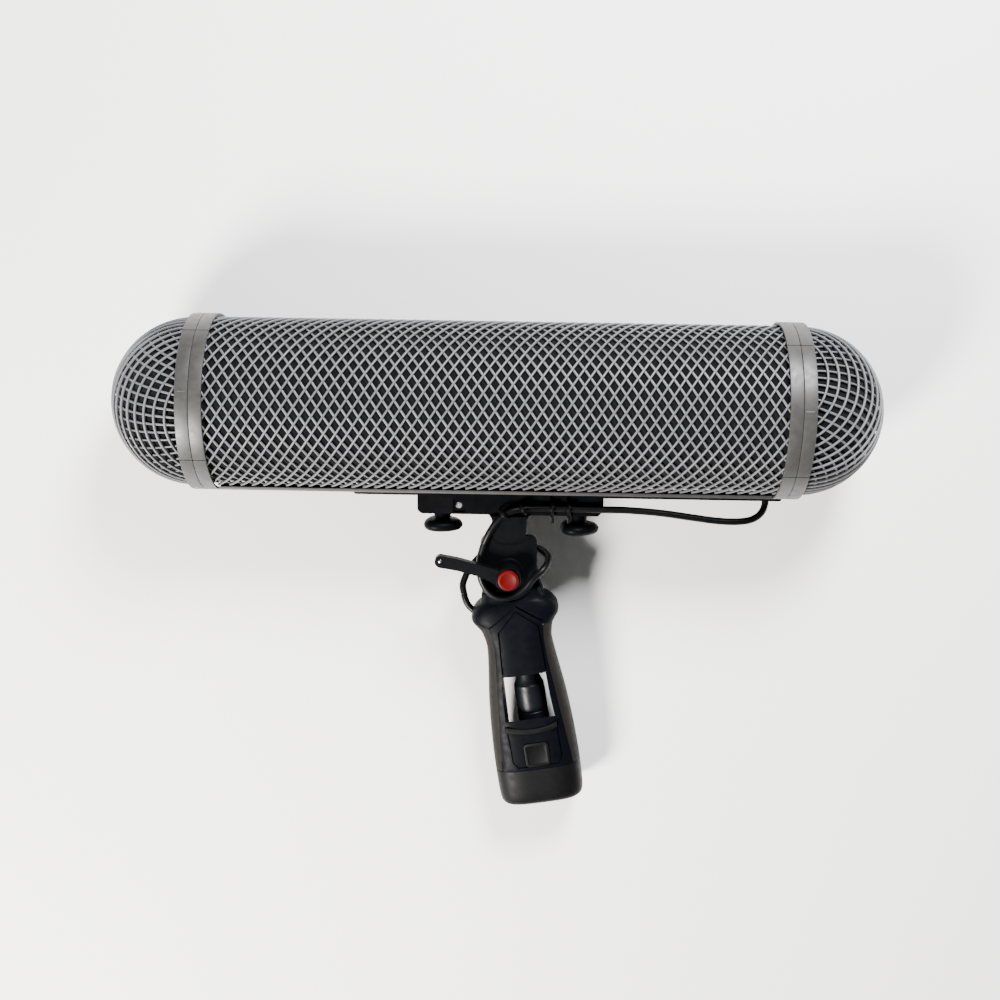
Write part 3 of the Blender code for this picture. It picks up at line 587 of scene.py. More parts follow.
def tube_strands(sense, radius, half_height):
    """One layer of the tube's net: helical strands, broken off along the slot."""
    parts = []
    stations = np.linspace(-NET_END, NET_END, 150)
    for i in range(STRANDS):
        angles = 360.0 * i / STRANDS - sense * 360.0 * stations / LEAD
        from_slot = (angles + 90.0 + 180.0) % 360.0 - 180.0
        free = np.abs(from_slot) > SLOT_ANGLE
        edges = np.flatnonzero(np.diff(np.concatenate(([0], free.astype(int), [0]))))
        for start, end in zip(edges[::2], edges[1::2]):
            if end - start < 3:
                continue
            turn = np.radians(angles[start:end])
            outward = np.stack((0 * turn, np.cos(turn), np.sin(turn)), axis=1)
            points = outward * radius
            points[:, 0] = stations[start:end]
            parts.append(sweep(points, outward, STRAND_W, half_height))
    return parts


def dome_strands(side, pole, swapped, radius, half_height):
    """One layer of a dome's net: a square grid wrapped over the dome from its tip."""
    parts = []
    first = Vector((0.0, math.cos(math.radians(pole)), math.sin(math.radians(pole))))
    second = Vector((0.0, -first.z, first.y))
    count = int(DOME_REACH / DOME_PITCH) + 1
    for i in range(-count, count + 1):
        u = (i + 0.5) * DOME_PITCH
        if abs(u) > DOME_REACH - 3:
            continue
        span = math.sqrt(DOME_REACH**2 - u**2)
        v = np.linspace(-span, span, max(int(span / 2.0), 6) * 2 + 1)
        away = np.radians(np.hypot(u, v))
        turn = np.arctan2(v, u) if not swapped else np.arctan2(u, v)
        sideways = np.outer(np.cos(turn), first) + np.outer(np.sin(turn), second)
        outward = sideways * np.sin(away)[:, None]
        outward[:, 0] += side * np.cos(away)
        points = outward * radius
        points[:, 0] += side * DOME_X
        parts.append(sweep(points, outward, STRAND_W, half_height))
    return parts


def make_tube_net():
    outer = tube_strands(1.0, NET_R - OUTER_SINK, STRAND_H)
    inner = tube_strands(-1.0, NET_R - INNER_SINK, INNER_H)
    net = linked("tube_net", gathered(outer + inner))
    finish(net, NET_GREY, "basket", "net_tube", sharp=50)


# where each dome's strands gather on its rim, degrees from the +Y side towards +Z
DOME_POLES = {"front": 185.0, "rear": 145.5}
DOME_PITCH = 7.7  # degrees between strands
DOME_REACH = 92.0  # degrees from the dome's tip to the ends of its strands


def make_dome_nets():
    for side, sign in SIDES.items():
        pole = DOME_POLES[side]
        outer = dome_strands(sign, pole, False, DOME_R - OUTER_SINK, STRAND_H)
        inner = dome_strands(sign, pole, True, DOME_R - INNER_SINK, INNER_H)
        net = linked(f"{side}_dome_strands", gathered(outer + inner))
        finish(net, NET_GREY, f"{side}_cap", f"{side}_dome_net", sharp=50)


LINER_R = 47.0
LINER_T = 0.5
LINER_EDGE = 10.0  # from the middle of the slot to the tube lining's edge
LINER_RIM = 173.7  # along the tube, where each dome's lining ends


def make_linings():
    """Thin cloth, stretched inside the net of the tube and of each dome."""
    opening = math.degrees(math.asin(LINER_EDGE / LINER_R))
    outside = ring_arc(LINER_R, -90 + opening, 270 - opening, 120)
    inside = ring_arc(LINER_R - LINER_T, 270 - opening, -90 + opening, 120)
    lining = linked("tube_lining", extruded(outside + inside, -NET_END, NET_END, "x"))
    finish(lining, LINER_BLACK, "basket", "tube_liner")
    dome_r = DOME_R - NET_R + LINER_R
    rim = DOME_X - LINER_RIM
    for side, sign in SIDES.items():
        outside = ring_arc(dome_r, 90, 0, 32, (DOME_X, 0.0))
        inside = ring_arc(dome_r - LINER_T, 0, 90, 32, (DOME_X, 0.0))
        cup = [(DOME_X - rim, dome_r)] + outside + inside + [(DOME_X - rim, dome_r - LINER_T)]
        profile = [(sign * x, r) for x, r in cup]
        cover = linked(f"{side}_dome_cover", turned(profile, "x", 96))
        finish(cover, LINER_BLACK, f"{side}_cap", f"{side}_dome_liner")


make_tube_net()
make_dome_nets()
make_linings()


# ---- rings and rails

RING_R = 51.9
RING_OUT = 177.7
RING_IN = 162.7
RING_MID = (RING_OUT + RING_IN) / 2
SEAM = 0.10  # half the fine gap between the two halves of a ring
GROOVE = 0.45  # how far the sleeve under a ring's seam and joints lies below its face
RING_T = 1.4
RING_EDGE = 0.35  # rounding of a ring's edges
JOINT_HALF = 0.25  # half the gap between two lengths of a ring, in degrees
NOTCH_Y = 9.6  # half the width of the slot through the tube's own ring
TUBE_BORE = 45.2
CAP_SPIGOT, CAP_BORE = 44.9, 43.0  # the part of the cap's ring that goes inside the tube's
CAP_STEP = 173.4
# where the four lengths of each ring meet, degrees from the +Y side towards +Z
JOINTS = {"front": (-149.0, -59.0, 31.0, 120.5), "rear": (-143.0, -54.0, 36.0, 126.0)}


def ring_quarters(side, inner, outer, extra, opening=0.0):
    """One half of a ring: a band in four lengths, over a sleeve that closes their joints.

    It is left open below, `opening` degrees each way.
    """
    sign = SIDES[side]
    under = RING_R - RING_T
    band = filleted(((inner, under), (outer, under), (outer, RING_R), (inner, RING_R)), RING_EDGE)
    forms = []
    places = JOINTS[side]
    arcs = list(zip(places, places[1:] + (places[0] + 360.0,)))
    if opening:
        arcs[:1] = [(places[0], -90.0 - opening), (-90.0 + opening, places[1])]
    for start, end in arcs:
        profile = [(sign * x, r) for x, r in band]
        forms.append(turned(profile, "x", 48, start + JOINT_HALF, end - JOINT_HALF))
    around = (-90.0 + opening, 270.0 - opening) if opening else (0.0, 360.0)
    forms.append(turned([(sign * x, r) for x, r in extra], "x", 128, *around))
    whole = bmesh.new()
    for form in forms:
        mesh = bpy.data.meshes.new("form")
        form.to_mesh(mesh)
        form.free()
        whole.from_mesh(mesh)
        bpy.data.meshes.remove(mesh)
    return whole


def make_rings():
    """At each end of the tube, its own ring and the cap's, either side of a fine seam."""
    sleeve = NET_R + GAP
    top = RING_R - GROOVE
    slot = math.degrees(math.asin(NOTCH_Y / RING_R))
    for side in SIDES:
        edge = RING_MID - SEAM
        under = [(RING_IN + 0.4, top), (edge - 0.2, top), (edge - 0.2, TUBE_BORE)]
        under += [(NET_END + GAP, TUBE_BORE), (NET_END + GAP, sleeve), (RING_IN + 0.4, sleeve)]
        ring = linked(f"{side}_tube_ring", ring_quarters(side, RING_IN, edge, under, slot))
        finish(ring, RING_GREY, "basket", f"{side}_tube_collar")
        edge = RING_MID + SEAM
        over = [(edge + 0.2, top), (RING_OUT - 0.4, top), (RING_OUT - 0.4, sleeve)]
        over += [(CAP_STEP, sleeve), (CAP_STEP, CAP_BORE), (RING_IN + 2.0, CAP_BORE)]
        over += [(RING_IN + 2.0, CAP_SPIGOT), (edge + 0.2, CAP_SPIGOT)]
        ring = linked(f"{side}_cap_ring", ring_quarters(side, edge, RING_OUT, over))
        finish(ring, RING_GREY, f"{side}_cap", f"{side}_cap_collar")


CATCH_TURNS = {"front": 164.5, "rear": 172.0}  # degrees from the +Y side towards +Z


def make_latches():
    """A small catch across each ring's seam, at the side with the clamp lever."""
    for side, sign in SIDES.items():
        place = LAY @ Matrix.Rotation(math.radians(CATCH_TURNS[side]), 4, "X")
        tab = extruded(rounded_outline(-2.9, -0.95, 2.9, 0.95, 0.9), RING_R - 0.6, RING_R + 0.12, "y")
        catch = shaped(f"{side}_catch", tab, bevel=0.25)
        catch.data.transform(Matrix.Translation((sign * (RING_MID + 3.4), 0.0, 0.0)))
        finish(catch, RING_GREY, f"{side}_cap", place=place)


RAIL_Y0, RAIL_Y1 = 10.2, 16.0
RAIL_LOW = -49.8
EDGE_T = 0.8
EDGE_TOP = -46.1


def make_rails():
    """The two rails along the slot, and the dark edge of the tube above each."""
    crown = NET_R + GAP
    reach = RING_IN - GAP
    for name, turn in (("left", -1.0), ("right", 1.0)):
        outline = [(y, -math.sqrt(crown**2 - y**2)) for y in np.linspace(RAIL_Y0, RAIL_Y1, 7)]
        outline += [(RAIL_Y1, RAIL_LOW), (RAIL_Y0, RAIL_LOW)]
        outline = [(turn * y, z) for y, z in filleted(outline, 0.22, 2)]
        rail = linked(f"{name}_slot_rail", extruded(outline, -reach, reach, "x"))
        finish(rail, RAIL_GREY, "basket", f"{name}_rail", sharp=45)
        low, high = sorted((turn * RAIL_Y0, turn * (RAIL_Y0 + EDGE_T)))
        foot = -math.sqrt(crown**2 - (RAIL_Y0 + EDGE_T) ** 2) + 0.05
        edge = linked(f"{name}_slot_edge", block((-reach, low, foot), (reach, high, EDGE_TOP)))
        finish(edge, LINER_BLACK, "basket")


make_rings()
make_latches()
make_rails()


# ---- bar and bracket

BAR_Z0, BAR_Z1 = -52.6, -50.3
BAR_X0, BAR_X1, BAR_Y = -84.0, 169.8, 9.0
EXIT_X = 161.5  # middle of the hole that the cable comes out through
BORE_R = 3.3  # round the swivel's bolt
KNOB_X = (-31.5, 50.2)
KNOB_Z = (-71.7, -72.8)  # middles of the two knobs' heads
KNOB_R = 11.6
KNOB_LOBE = 0.7
# height and width of a knob's head, from its top down
KNOB_SECTIONS = (
    (3.4, 0.62), (2.9, 0.80), (1.7, 0.94), (0.0, 1.0), (-1.8, 0.95), (-3.0, 0.82), (-3.5, 0.64),
)
STUD_R, STUD_TOP = 2.4, -48.0
NECK_R = 5.0
BRACKET_X0, BRACKET_X1 = -45.9, 64.2
BRACKET_Y = 11.0
BRACKET_Z0, BRACKET_Z1 = -63.2, -50.0
STEM_HALF, STEM_FOOT = 10.3, -72.5
CORNER_R, INNER_CORNER_R, FOOT_R = 3.7, 3.0, 7.0
CHEEK_HALF = 16.9
CHEEK_Y0, CHEEK_Y1 = 6.5, 12.5
SHOULDER_R = 5.5
SHOULDER_NEAR, SHOULDER_FAR = -81.2, -86.4
PROUD = 1.3  # how far the stem stands out past the cheeks
CROTCH_R = 21.0
TONGUE_R = 17.0
HOLE_R = 2.8  # for the knobs' screws
BAND_X = (34.0, 43.9)
BAND_HALF, BAND_TAIL = 1.0, 3.2
BAND_T = 0.65  # half the thickness of a band
PIN_X, PIN_Z, PIN_R = -21.0, -58.1, 2.1


def make_bar():
    outline = rounded_outline(BAR_X0, -BAR_Y, BAR_X1, BAR_Y, 3.0)
    holes = [rod(HOLE_R, -60, -40, "z", (x, 0.0)) for x in KNOB_X]
    holes.append(extruded(rounded_outline(EXIT_X - 7, -4.5, EXIT_X + 5, 4.5, 4.4), -60, -40, "z"))
    bar = shaped("bar", extruded(outline, BAR_Z0, BAR_Z1, "z"), cutters=holes, bevel=0.35)
    finish(bar, BLACK_METAL, "mount", "suspension_bar")


def bracket_outline():
    """The bracket from the side: a plate under the bar, with a stem below it."""
    low = BRACKET_Z0
    left, right = PIVOT.x - STEM_HALF, PIVOT.x + STEM_HALF
    outline = [(BRACKET_X1, BRACKET_Z1), (BRACKET_X0, BRACKET_Z1)]
    outline += ring_arc(CORNER_R, 180, 270, 10, (BRACKET_X0 + CORNER_R, low + CORNER_R))
    outline += ring_arc(INNER_CORNER_R, 90, 0, 8, (left - INNER_CORNER_R, low - INNER_CORNER_R))
    outline += ring_arc(FOOT_R, 180, 270, 12, (left + FOOT_R, STEM_FOOT))
    outline += ring_arc(FOOT_R, 270, 360, 12, (right - FOOT_R, STEM_FOOT))
    outline += ring_arc(INNER_CORNER_R, 180, 90, 8, (right + INNER_CORNER_R, low - INNER_CORNER_R))
    outline += [(BRACKET_X1 - 3.0, low), (BRACKET_X1 - 1.0, low + 2.2), (BRACKET_X1, low + 6.8)]
    return outline


def cheek_outline(shoulder):
    """One of the bracket's cheeks from the side, round below and with two shoulders above."""
    px, _, pz = PIVOT
    outline = ring_arc(CHEEK_HALF, 180, 360, 48, (px, pz))
    outline += ring_arc(SHOULDER_R, 0, 90, 12, (px + CHEEK_HALF - SHOULDER_R, shoulder))
    outline += ring_arc(SHOULDER_R, 90, 180, 12, (px - CHEEK_HALF + SHOULDER_R, shoulder))
    return outline


def make_bracket():
    px, _, pz = PIVOT
    proud = [(x, z) for x, z in bracket_outline() if z < BRACKET_Z0 - 0.5]
    crotch = [(px - 30, pz), (px - 30, pz - 60), (px + 30, pz - 60), (px + 30, pz)]
    crotch += ring_arc(CROTCH_R, 0, 180, 48, (px, pz))
    cutters = [block((-400, -BAR_Y - GAP, BAR_Z0 - GAP), (400, BAR_Y + GAP, 0.0))]
    cutters.append(extruded(crotch, -CHEEK_Y0, CHEEK_Y0, "y"))
    cutters.append(rod(BORE_R, -40, 40, "y", (px, pz)))
    cutters += [rod(HOLE_R, -80, -50, "z", (x, 0.0)) for x in KNOB_X]
    half = BAND_HALF + GAP
    cutters += [block((x - half, -20, BAR_Z0 - 2.3), (x + half, 20, 0.0)) for x in BAND_X]
    cutters.append(block((PIN_X - 3.6, -20, -62.0), (PIN_X + 3.4, 1.0 - BRACKET_Y, -54.0)))
    cutters.append(rod(PIN_R + GAP, -20, 20, "y", (PIN_X, PIN_Z)))
    arm = extruded(bracket_outline(), -BRACKET_Y, BRACKET_Y, "y")
    stem = extruded(proud, -CHEEK_Y1 - PROUD, CHEEK_Y1 + PROUD, "y")
    near = extruded(cheek_outline(SHOULDER_NEAR), -CHEEK_Y1, -CHEEK_Y0, "y")
    far = extruded(cheek_outline(SHOULDER_FAR), -CHEEK_Y0 - 0.5, CHEEK_Y1, "y")
    bracket = shaped("swivel_bracket", arm, joined=[stem, near, far], cutters=cutters, bevel=0.45)
    finish(bracket, BLACK_PLASTIC, "mount", "bracket")


def make_bracket_pin():
    head = 0.5 - BRACKET_Y
    profile = [(head, 0.0), (head, 1.5), (0.9 - BRACKET_Y, PIN_R), (10.8, PIN_R), (10.8, 0.0)]
    pin = linked("bracket_cross_pin", turned(profile, "y", 32))
    finish(pin, STEEL, "mount", "bracket_pin", place=LAY @ Matrix.Translation((PIN_X, 0.0, PIN_Z)))


def make_bands():
    """Rubber loops round the bracket that hold the cable against it."""
    front = 2 * CABLE_R + 0.6
    low, top = BRACKET_Z0 - 0.95, BAR_Z0 - 1.2
    face = BRACKET_Y + 0.95
    path = [(9.0, top), (face - 0.7, top), (face, top - 0.7), (face, low + 0.6), (face - 0.6, low)]
    path += [(0.6 - face, low), (-face, low + 0.6), (-face - front + 1.2, -61.0)]
    path += [(-face - front, -58.3), (-face - front + 1.2, -55.8), (-face - 1.6, -54.6), (-9.0, top)]
    for number, x in enumerate(BAND_X, 1):
        outer = filleted(offset_path(path, BAND_T, True), 1.2, 4)
        inner = filleted(offset_path(path, -BAND_T, True), 0.7, 4)
        start, end = x - BAND_HALF, x + BAND_HALF
        tail = block((start, -face - 0.6, low - BAND_TAIL), (end, 0.8 - face, low + 0.3))
        loop = framed(outer, inner, start, end, "x")
        band = shaped(f"cable_loop_band_{number}", loop, joined=[tail], bevel=0.25)
        finish(band, BAND_BLACK, "mount", f"cable_band_{number}", sharp=50)


def make_hooks():
    """Two short straps that hold the cable against the top of the stem."""
    arm, stem = -BRACKET_Y, -CHEEK_Y1 - PROUD
    reach = CABLE_R + 1.3
    hooks = {
        "left": ((5.6, -61.8), 47.0, -16.6, (arm, stem)),
        "right": ((16.8, -58.5), 62.0, -15.7, (arm, arm)),
    }
    for name, ((x, z), turn, crest, faces) in hooks.items():
        path = [(-reach - 0.2, faces[0] - GAP)]
        path += ring_arc(reach, 180, 360, 24, (0.0, crest))
        path += [(reach + 0.2, faces[1] - GAP)]
        outline = offset_path(path, 0.6, False) + offset_path(path, -0.6, False)[::-1]
        strap = shaped(f"{name}_strap", extruded(outline, -0.8, 0.8, "z"), bevel=0.22)
        place = LAY @ Matrix.Translation((x, 0.0, z)) @ Matrix.Rotation(math.radians(turn), 4, "Y")
        finish(strap, BAND_BLACK, "mount", f"{name}_cable_hook", place=place, sharp=50)


def knob_ring(height, scale, phase, steps=96):
    """One section of a knob's head: a circle with three shallow lobes."""
    ring = []
    for i in range(steps):
        angle = math.radians(360 * i / steps)
        radius = scale * (KNOB_R + KNOB_LOBE * math.cos(3 * angle + phase))
        ring.append((radius * math.cos(angle), radius * math.sin(angle), height))
    return ring


def make_knobs():
    """Two flat heads, each on a neck and a screw."""
    for side, x, z, phase in zip(SIDES, KNOB_X, KNOB_Z, (0.6, 0.0)):
        sections = smooth_path([(height, scale, 0.0) for height, scale in KNOB_SECTIONS], 3)
        head = lofted([knob_ring(height, scale, phase) for height, scale, _ in sections])
        joined = [rod(NECK_R, 0.0, BRACKET_Z0 - GAP - z, "z"), rod(STUD_R, 0.0, STUD_TOP - z, "z")]
        dimple = rod(3.4, -6.0, -2.7, "z")
        knob = shaped(f"{side}_thumb_knob", head, joined=joined, cutters=[dimple], bevel=0.3)
        place = LAY @ Matrix.Translation((x, 0.0, z))
        finish(knob, BLACK_PLASTIC, f"{side}_knob", f"{side}_knob", place=place)


make_bar()
make_bracket()
make_bracket_pin()
make_bands()
make_hooks()
make_knobs()


# ---- swivel

DISC_R, DISC_Y1 = 10.2, 15.4
HUB_R = 7.4
HUB_Y0, HUB_Y1 = -26.0, -15.7
WELL_Y = -21.6
BUTTON_R = 6.1
LEVER_TIP = (-39.8, 9.6)
LEVER_Y0, LEVER_Y1 = -23.4, -18.2
RIVET_X, RIVET_Z = -40.3, 9.6


def make_discs():
    for side, turn in (("front", -1.0), ("back", 1.0)):
        face = CHEEK_Y1 + GAP
        profile = filleted(((face, BORE_R), (DISC_Y1, BORE_R), (DISC_Y1, DISC_R), (face, DISC_R)), 0.5)
        disc = linked(f"{side}_washer", turned([(turn * h, r) for h, r in profile], "y", 64))
        finish(disc, BLACK_PLASTIC, "mount", f"{side}_friction_disc", place=LEVER)


def make_lever():
    """The clamp lever: a round hub with a well for the button, and a flat arm to one side."""
    well = BUTTON_R + GAP
    hub = [(HUB_Y1, HUB_R), (HUB_Y1, BORE_R), (WELL_Y, BORE_R), (WELL_Y, well)]
    hub += [(HUB_Y0, well), (HUB_Y0, HUB_R - 0.3), (HUB_Y0 + 0.5, HUB_R)]
    arm = ring_arc(3.7, 98, 262, 20, LEVER_TIP)
    arm += [(-30.0, 4.3), (-18.6, 1.3), (-11.0, -1.8), (-4.5, -5.6)]
    arm += [(0.0, -5.0), (0.0, 4.4), (-4.5, 4.6), (-8.0, 5.4), (-18.6, 8.5), (-30.0, 11.5)]
    cutters = [rod(BORE_R, -30, -10), rod(well, -30, WELL_Y, steps=64)]
    cutters.append(rod(1.5, -30, -21.4, "y", (RIVET_X, RIVET_Z), 24))
    joined = [extruded(arm, LEVER_Y0, LEVER_Y1, "y")]
    form = turned(hub, "y", 64)
    lever = shaped("lever_arm", form, joined=joined, cutters=cutters, bevel=0.6, segments=3)
    finish(lever, BLACK_METAL, "clamp_lever", "clamp_lever", place=LEVER)
    pin = [(-21.7, 0.0), (-21.7, 1.2), (-22.9, 1.2), (-23.25, 0.7), (-23.3, 0.0)]
    rivet = linked("lever_rivet", turned(pin, "y", 32))
    place = LEVER @ Matrix.Translation((RIVET_X, 0.0, RIVET_Z))
    finish(rivet, STEEL, "clamp_lever", "lever_pin", place=place)


def make_button():
    """The red button in the lever's hub, with a shallow dish in its face."""
    cap = [(-24.0, 0.0), (-24.0, BUTTON_R), (-27.5, BUTTON_R)]
    for y, inset in ((-28.0, 0.35), (-28.2, 0.9), (-28.15, 1.7), (-27.9, 2.3)):
        cap.append((y, BUTTON_R - inset))
    button = linked("button_cap", turned(cap + [(-27.85, 0.0)], "y", 64))
    finish(button, BUTTON_RED, "release_button", "release_button", place=LEVER)


make_discs()
make_lever()
make_button()


# ---- grip

# distance below the pivot, half the width and half the depth
GRIP_SECTIONS = (
    (12.0, 18.0, 12.6), (17.2, 19.2, 13.6), (19.4, 22.6, 14.2), (22.8, 25.6, 14.9),
    (26.2, 26.6, 15.3), (29.2, 26.3, 15.5), (32.6, 24.0, 15.5), (36.0, 21.9, 15.4),
    (42.0, 20.5, 15.6), (48.0, 20.1, 15.9), (62.0, 21.6, 16.5), (78.0, 23.7, 17.0),
    (94.0, 25.1, 17.4), (110.0, 26.0, 17.7), (126.0, 26.4, 18.0), (140.0, 26.2, 18.0),
    (146.0, 25.4, 17.0), (148.4, 23.4, 14.6),
)
ROUNDNESS = 3.4  # of a section's corners: 2 would be an ellipse
# distance below the pivot and half the width of the neck, between the bracket's cheeks
NECK = ((0.0, 17.0), (6.0, 17.3), (9.9, 17.6), (13.0, 18.4), (17.0, 19.0), (21.0, 19.4))
# the edge of each rubber on the grip's face: distance below the pivot, distance from the middle
RUBBER_EDGE = ((32.9, 16.2), (43.0, 15.2), (54.0, 15.6), (129.4, 22.6))
RUBBER_SLOPE = {"left": -0.5, "right": 0.4}  # how far each rubber's top falls towards the outside
RUBBER_GAP = 0.1
FOOT_TOP = 124.4
WINDOW_TOP, WINDOW_LOW = 63.5, 91.8
WINDOW_FACE = -17.0
WINDOW_SLOPE = 0.4  # how far the window's lower wall falls towards the back
PLUG_END, PLUG_U, PLUG_R = 97.4, 1.6, 9.5
LIP_REACH, LIP_T = 15.6, 1.7  # half the lip's width, half its height
LIP_S, LIP_SAG = 99.6, 2.8
# lines cut into the face towards the lever, and the width of each stretch
GROOVES = (
    (((-16.7, -32.3), (0.8, -20.0), (16.6, -31.8)), (0.9, 0.9)),
    (
        (
            (-15.0, -97.5), (-14.4, -118.5), (-11.6, -122.3),
            (13.0, -122.3), (15.9, -118.5), (15.3, -97.5),
        ),
        (0.6, 0.6, 0.6, 0.6, 0.6),
    ),
    (
        ((-12.6, -62.0), (-11.2, -35.4), (0.8, -23.4), (13.0, -33.8), (14.0, -62.0)),
        (0.8, 0.6, 0.6, 0.8),
    ),
)
SOCKET_TOP, SOCKET_R, THREAD_R = -134.3, 8.0, 4.2


def grip_ring(distance, width, depth, steps=96):
    """One section of the grip: a rectangle with generous round corners."""
    points = []
    for a, b in ring_arc(1.0, 0, 360, steps)[:-1]:
        u = math.copysign(abs(a) ** (2 / ROUNDNESS), a) * width
        v = math.copysign(abs(b) ** (2 / ROUNDNESS), b) * depth
        points.append((u, v, -distance))
    return points


def grip_form():
    """The grip's outer form, along a smooth curve through its sections."""
    return lofted([grip_ring(*section) for section in smooth_path(GRIP_SECTIONS, 4)])


def beyond(side, clear):
    """Everything outside the edge of one rubber, with some clearance to the panel beside it."""
    turn = {"left": -1.0, "right": 1.0}[side]
    outline = [(turn * (u + clear), -s) for s, u in RUBBER_EDGE]
    top, inner = RUBBER_EDGE[0]
    outline[0] = (outline[0][0], -top - clear)
    outline.append((turn * 60, -RUBBER_EDGE[-1][0]))
    outline.append((turn * 60, -top - clear - RUBBER_SLOPE[side] * (60 - inner)))
    return extruded(outline, -40, 40, "y")


def lip_body(clear):
    """A curved bar across the front, just below the window."""
    stations = np.linspace(-LIP_REACH, LIP_REACH, 17)
    path = [(u, -LIP_S + LIP_SAG * (u / LIP_REACH) ** 2) for u in stations]
    half = LIP_T + clear
    upper = [(u, z + half) for u, z in path]
    lower = [(u, z - half) for u, z in path]
    reach, last = LIP_REACH + clear, LIP_REACH - 0.1
    outline = [(math.copysign(reach, u) if abs(u) > last else u, z) for u, z in upper + lower[::-1]]
    return extruded(outline, -18.4 - 10 * clear, -15.0 + clear, "y")


def badge_body(clear):
    """The badge's round-cornered block, with some clearance round it."""
    outline = rounded_outline(-6.6 - clear, -122.6 - clear, 8.4 + clear, -107.2 + clear, 2.4)
    return extruded(outline, -18.3 - 10 * clear, -15.6 + clear, "y")


def groove(points, width):
    """A narrow channel along a line on the face towards the lever."""
    left = offset_path(points, width / 2, False)
    right = offset_path(points, -width / 2, False)
    return extruded(left + right[::-1], -30.0, -13.4, "y")


def window_body():
    """The opening through the grip in front of the plug, with a sloping lower wall."""
    rings = []
    for y in (-40.0, 40.0):
        low = -WINDOW_LOW - WINDOW_SLOPE * (y - WINDOW_FACE)
        rings.append([(-13.4, y, -WINDOW_TOP), (13.4, y, -WINDOW_TOP), (15.2, y, low), (-15.2, y, low)])
    return lofted(rings)


def make_shell():
    """The grip's hollowed shell, with its neck between the bracket's cheeks."""
    cutters = [block((-60, -40, -400), (60, 40, -FOOT_TOP))]
    cutters += [beyond(side, 0.0) for side in RUBBER_SLOPE]
    for low, high in ((-30, GAP - CHEEK_Y0), (CHEEK_Y0 - GAP, 30)):
        cutters.append(rod(CHEEK_HALF + 0.5, low, high, "y", steps=96))
    cutters.append(window_body())
    cutters.append(rod(PLUG_R + GAP, -PLUG_END - GAP, -80.0, "z", (PLUG_U, 0.0), 64))
    cutters.append(rod(7.6, -WINDOW_TOP - 5, -46.0, "z", (PLUG_U, 0.0)))
    cutters += [lip_body(GAP), badge_body(GAP)]
    for line, widths in GROOVES:
        cutters += [groove(line[i : i + 2], width) for i, width in enumerate(widths)]
    shell = shaped("grip_body", grip_form(), cutters=cutters, bevel=0.35)
    finish(shell, GRIP_BLACK, "grip", "grip_shell", place=GRIP)
    neck = ring_arc(TONGUE_R, 0, 180, 64)[1:-1]
    neck += [(-u, -s) for s, u in NECK] + [(u, -s) for s, u in reversed(NECK)]
    form = extruded(neck, GAP - CHEEK_Y0, CHEEK_Y0 - GAP, "y")
    tongue = shaped("grip_tongue", form, cutters=[rod(BORE_R, -40, 40)], bevel=0.5)
    finish(tongue, GRIP_BLACK, "grip", place=GRIP)


def make_rubbers():
    """The rubber down each side of the grip, and its foot."""
    for side in RUBBER_SLOPE:
        within = [beyond(side, RUBBER_GAP), block((-60, -40, -FOOT_TOP), (60, 40, 0.0))]
        strip = shaped(f"{side}_grip_strip", grip_form(), within=within, bevel=0.5)
        finish(strip, GRIP_BROWN, "grip", f"grip_rubber_{side}", place=GRIP)
    cutters = [block((-60, -40, -FOOT_TOP - GAP), (60, 40, 60.0))]
    cutters.append(rod(SOCKET_R + GAP, -160, SOCKET_TOP + GAP, "z"))
    foot = shaped("foot_rubber", grip_form(), cutters=cutters, bevel=0.6)
    finish(foot, FOOT_BROWN, "grip", "grip_foot", place=GRIP)


def make_socket():
    """The threaded insert in the grip's foot."""
    low = -GRIP_SECTIONS[-1][0]
    profile = [(low, THREAD_R), (low, SOCKET_R), (SOCKET_TOP, SOCKET_R), (SOCKET_TOP, THREAD_R)]
    for i in range(9):
        z = -134.9 - 1.5 * i
        turn = [(z, THREAD_R), (z - 0.5, THREAD_R + 0.35), (z - 0.9, THREAD_R + 0.35)]
        profile += [point for point in turn if point[0] > low + 0.3]
    socket = linked("boom_thread", turned(profile, "z", 48))
    finish(socket, BRASS, "grip", "boom_socket", place=GRIP)


def make_face_pieces():
    """The lip under the window, and the badge's plain frame."""
    lip = shaped("window_lip", lip_body(0.0), bevel=0.5, segments=3)
    finish(lip, FOOT_BROWN, "grip", "grip_lip", place=GRIP)
    recess = extruded(rounded_outline(-4.9, -120.9, 6.7, -108.9, 1.6), -19.0, -18.0, "y")
    badge = shaped("plain_badge", badge_body(0.0), cutters=[recess], bevel=0.3)
    finish(badge, FOOT_BROWN, "grip", "grip_badge", place=GRIP)


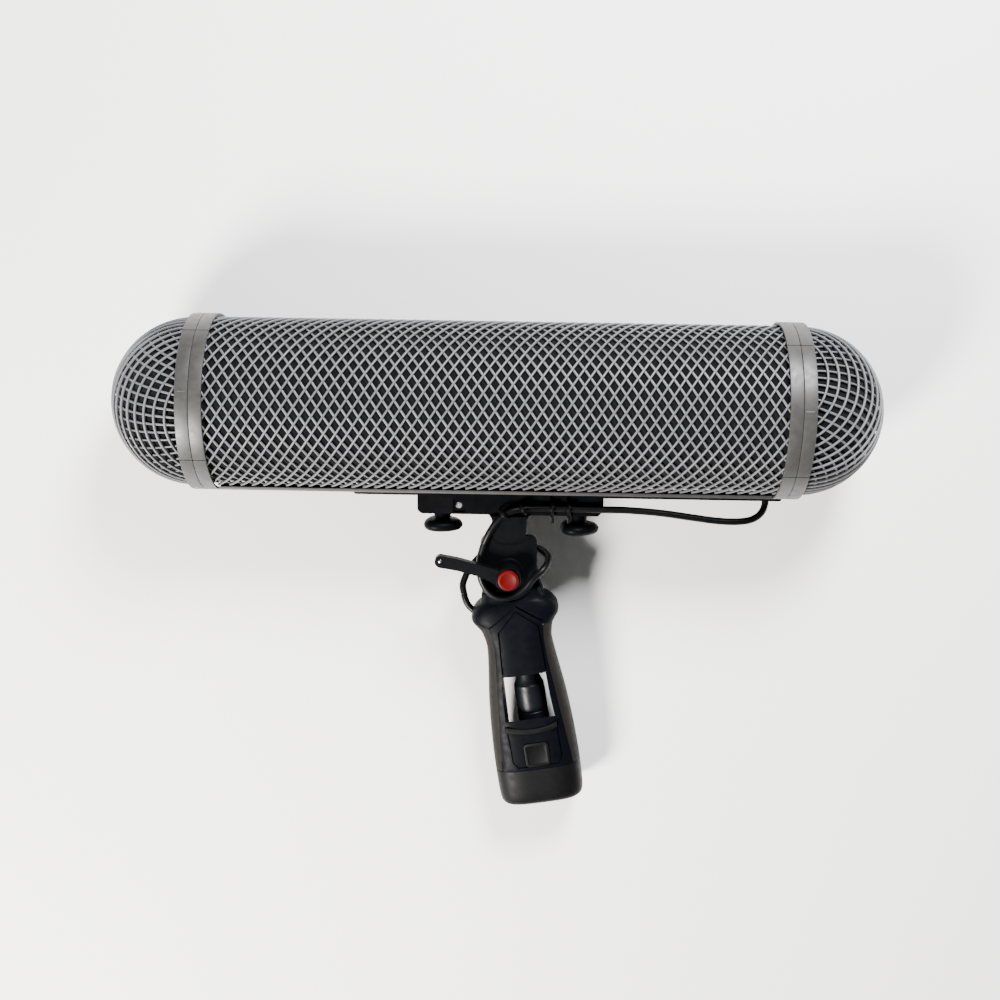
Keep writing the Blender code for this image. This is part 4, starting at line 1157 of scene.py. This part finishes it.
def make_plug():
    """The plug's tapered boot, its shell and the rim at its mouth."""
    low = -PLUG_END
    profile = [(-53.0, 0.0), (-53.0, 5.6), (-62.0, 6.3), (-70.0, 7.4), (-73.4, 8.7)]
    profile += [(-74.2, 9.2), (-80.0, PLUG_R), (low + 7.0, PLUG_R), (low + 6.7, 9.2)]
    profile += [(low + 6.2, 9.2), (low + 5.9, PLUG_R)]
    profile += [(low, PLUG_R), (low, 8.3), (low + 1.2, 8.3), (low + 1.2, 0.0)]
    plug = linked("plug_shell", turned(profile, "z", 64))
    place = GRIP @ Matrix.Translation((PLUG_U, 0.0, 0.0))
    finish(plug, SHELL_GREY, "grip", "cable_plug", place=place, sharp=25)


make_shell()
make_rubbers()
make_socket()
make_face_pieces()
make_plug()


# ---- pieces that keep the model's own shape


def paint_inner_pieces():
    """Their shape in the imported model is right, and only their finish is set."""
    looks = {
        "front_clamp_nut": BLACK_METAL,
        "rear_clamp_nut": BLACK_METAL,
        "front_lyre": BLACK_PLASTIC,
        "rear_lyre": BLACK_PLASTIC,
        "mic_socket": BLACK_METAL,
        "swivel_bolt": STEEL,
    }
    for node, look in looks.items():
        frame["nodes"][node].material_slots[0].material = look


paint_inner_pieces()


# ---- floor and light


def make_floor():
    """A pale flat floor, much wider than the camera's view."""
    look = Look("studio_floor", (0.94, 0.935, 0.925), 0.85)
    look.vary_roughness(look.noise(60.0), 0.8, 0.9)
    bm = bmesh.new()
    bmesh.ops.create_grid(bm, x_segments=8, y_segments=8, size=3.0)
    floor = linked("studio_floor", bm)
    floor.location.z = cad_box[0].z - 0.0002
    floor.data.materials.append(look.material)


def make_light(name, place, size, power, colour):
    """A soft round light, aimed at the middle of the floor."""
    data = bpy.data.lights.new(name, "AREA")
    data.shape = "DISK"
    data.size = size
    data.energy = power
    data.color = colour
    light = placed(name, data)
    light.location = place
    light.rotation_mode = "QUATERNION"
    light.rotation_quaternion = (-Vector(place)).to_track_quat("-Z", "Y")


def make_world():
    world = bpy.data.worlds.new("studio")
    bpy.context.scene.world = world
    world.use_nodes = True
    background = world.node_tree.nodes["Background"]
    background.inputs["Color"].default_value = (1.0, 1.0, 1.0, 1.0)
    background.inputs["Strength"].default_value = 0.15


make_floor()
make_light("key", (-0.72, -0.72, 0.95), 0.42, 78.0, (1.0, 0.965, 0.92))
make_light("back", (0.30, 0.85, 0.80), 0.40, 44.0, (0.98, 0.98, 1.0))
make_world()
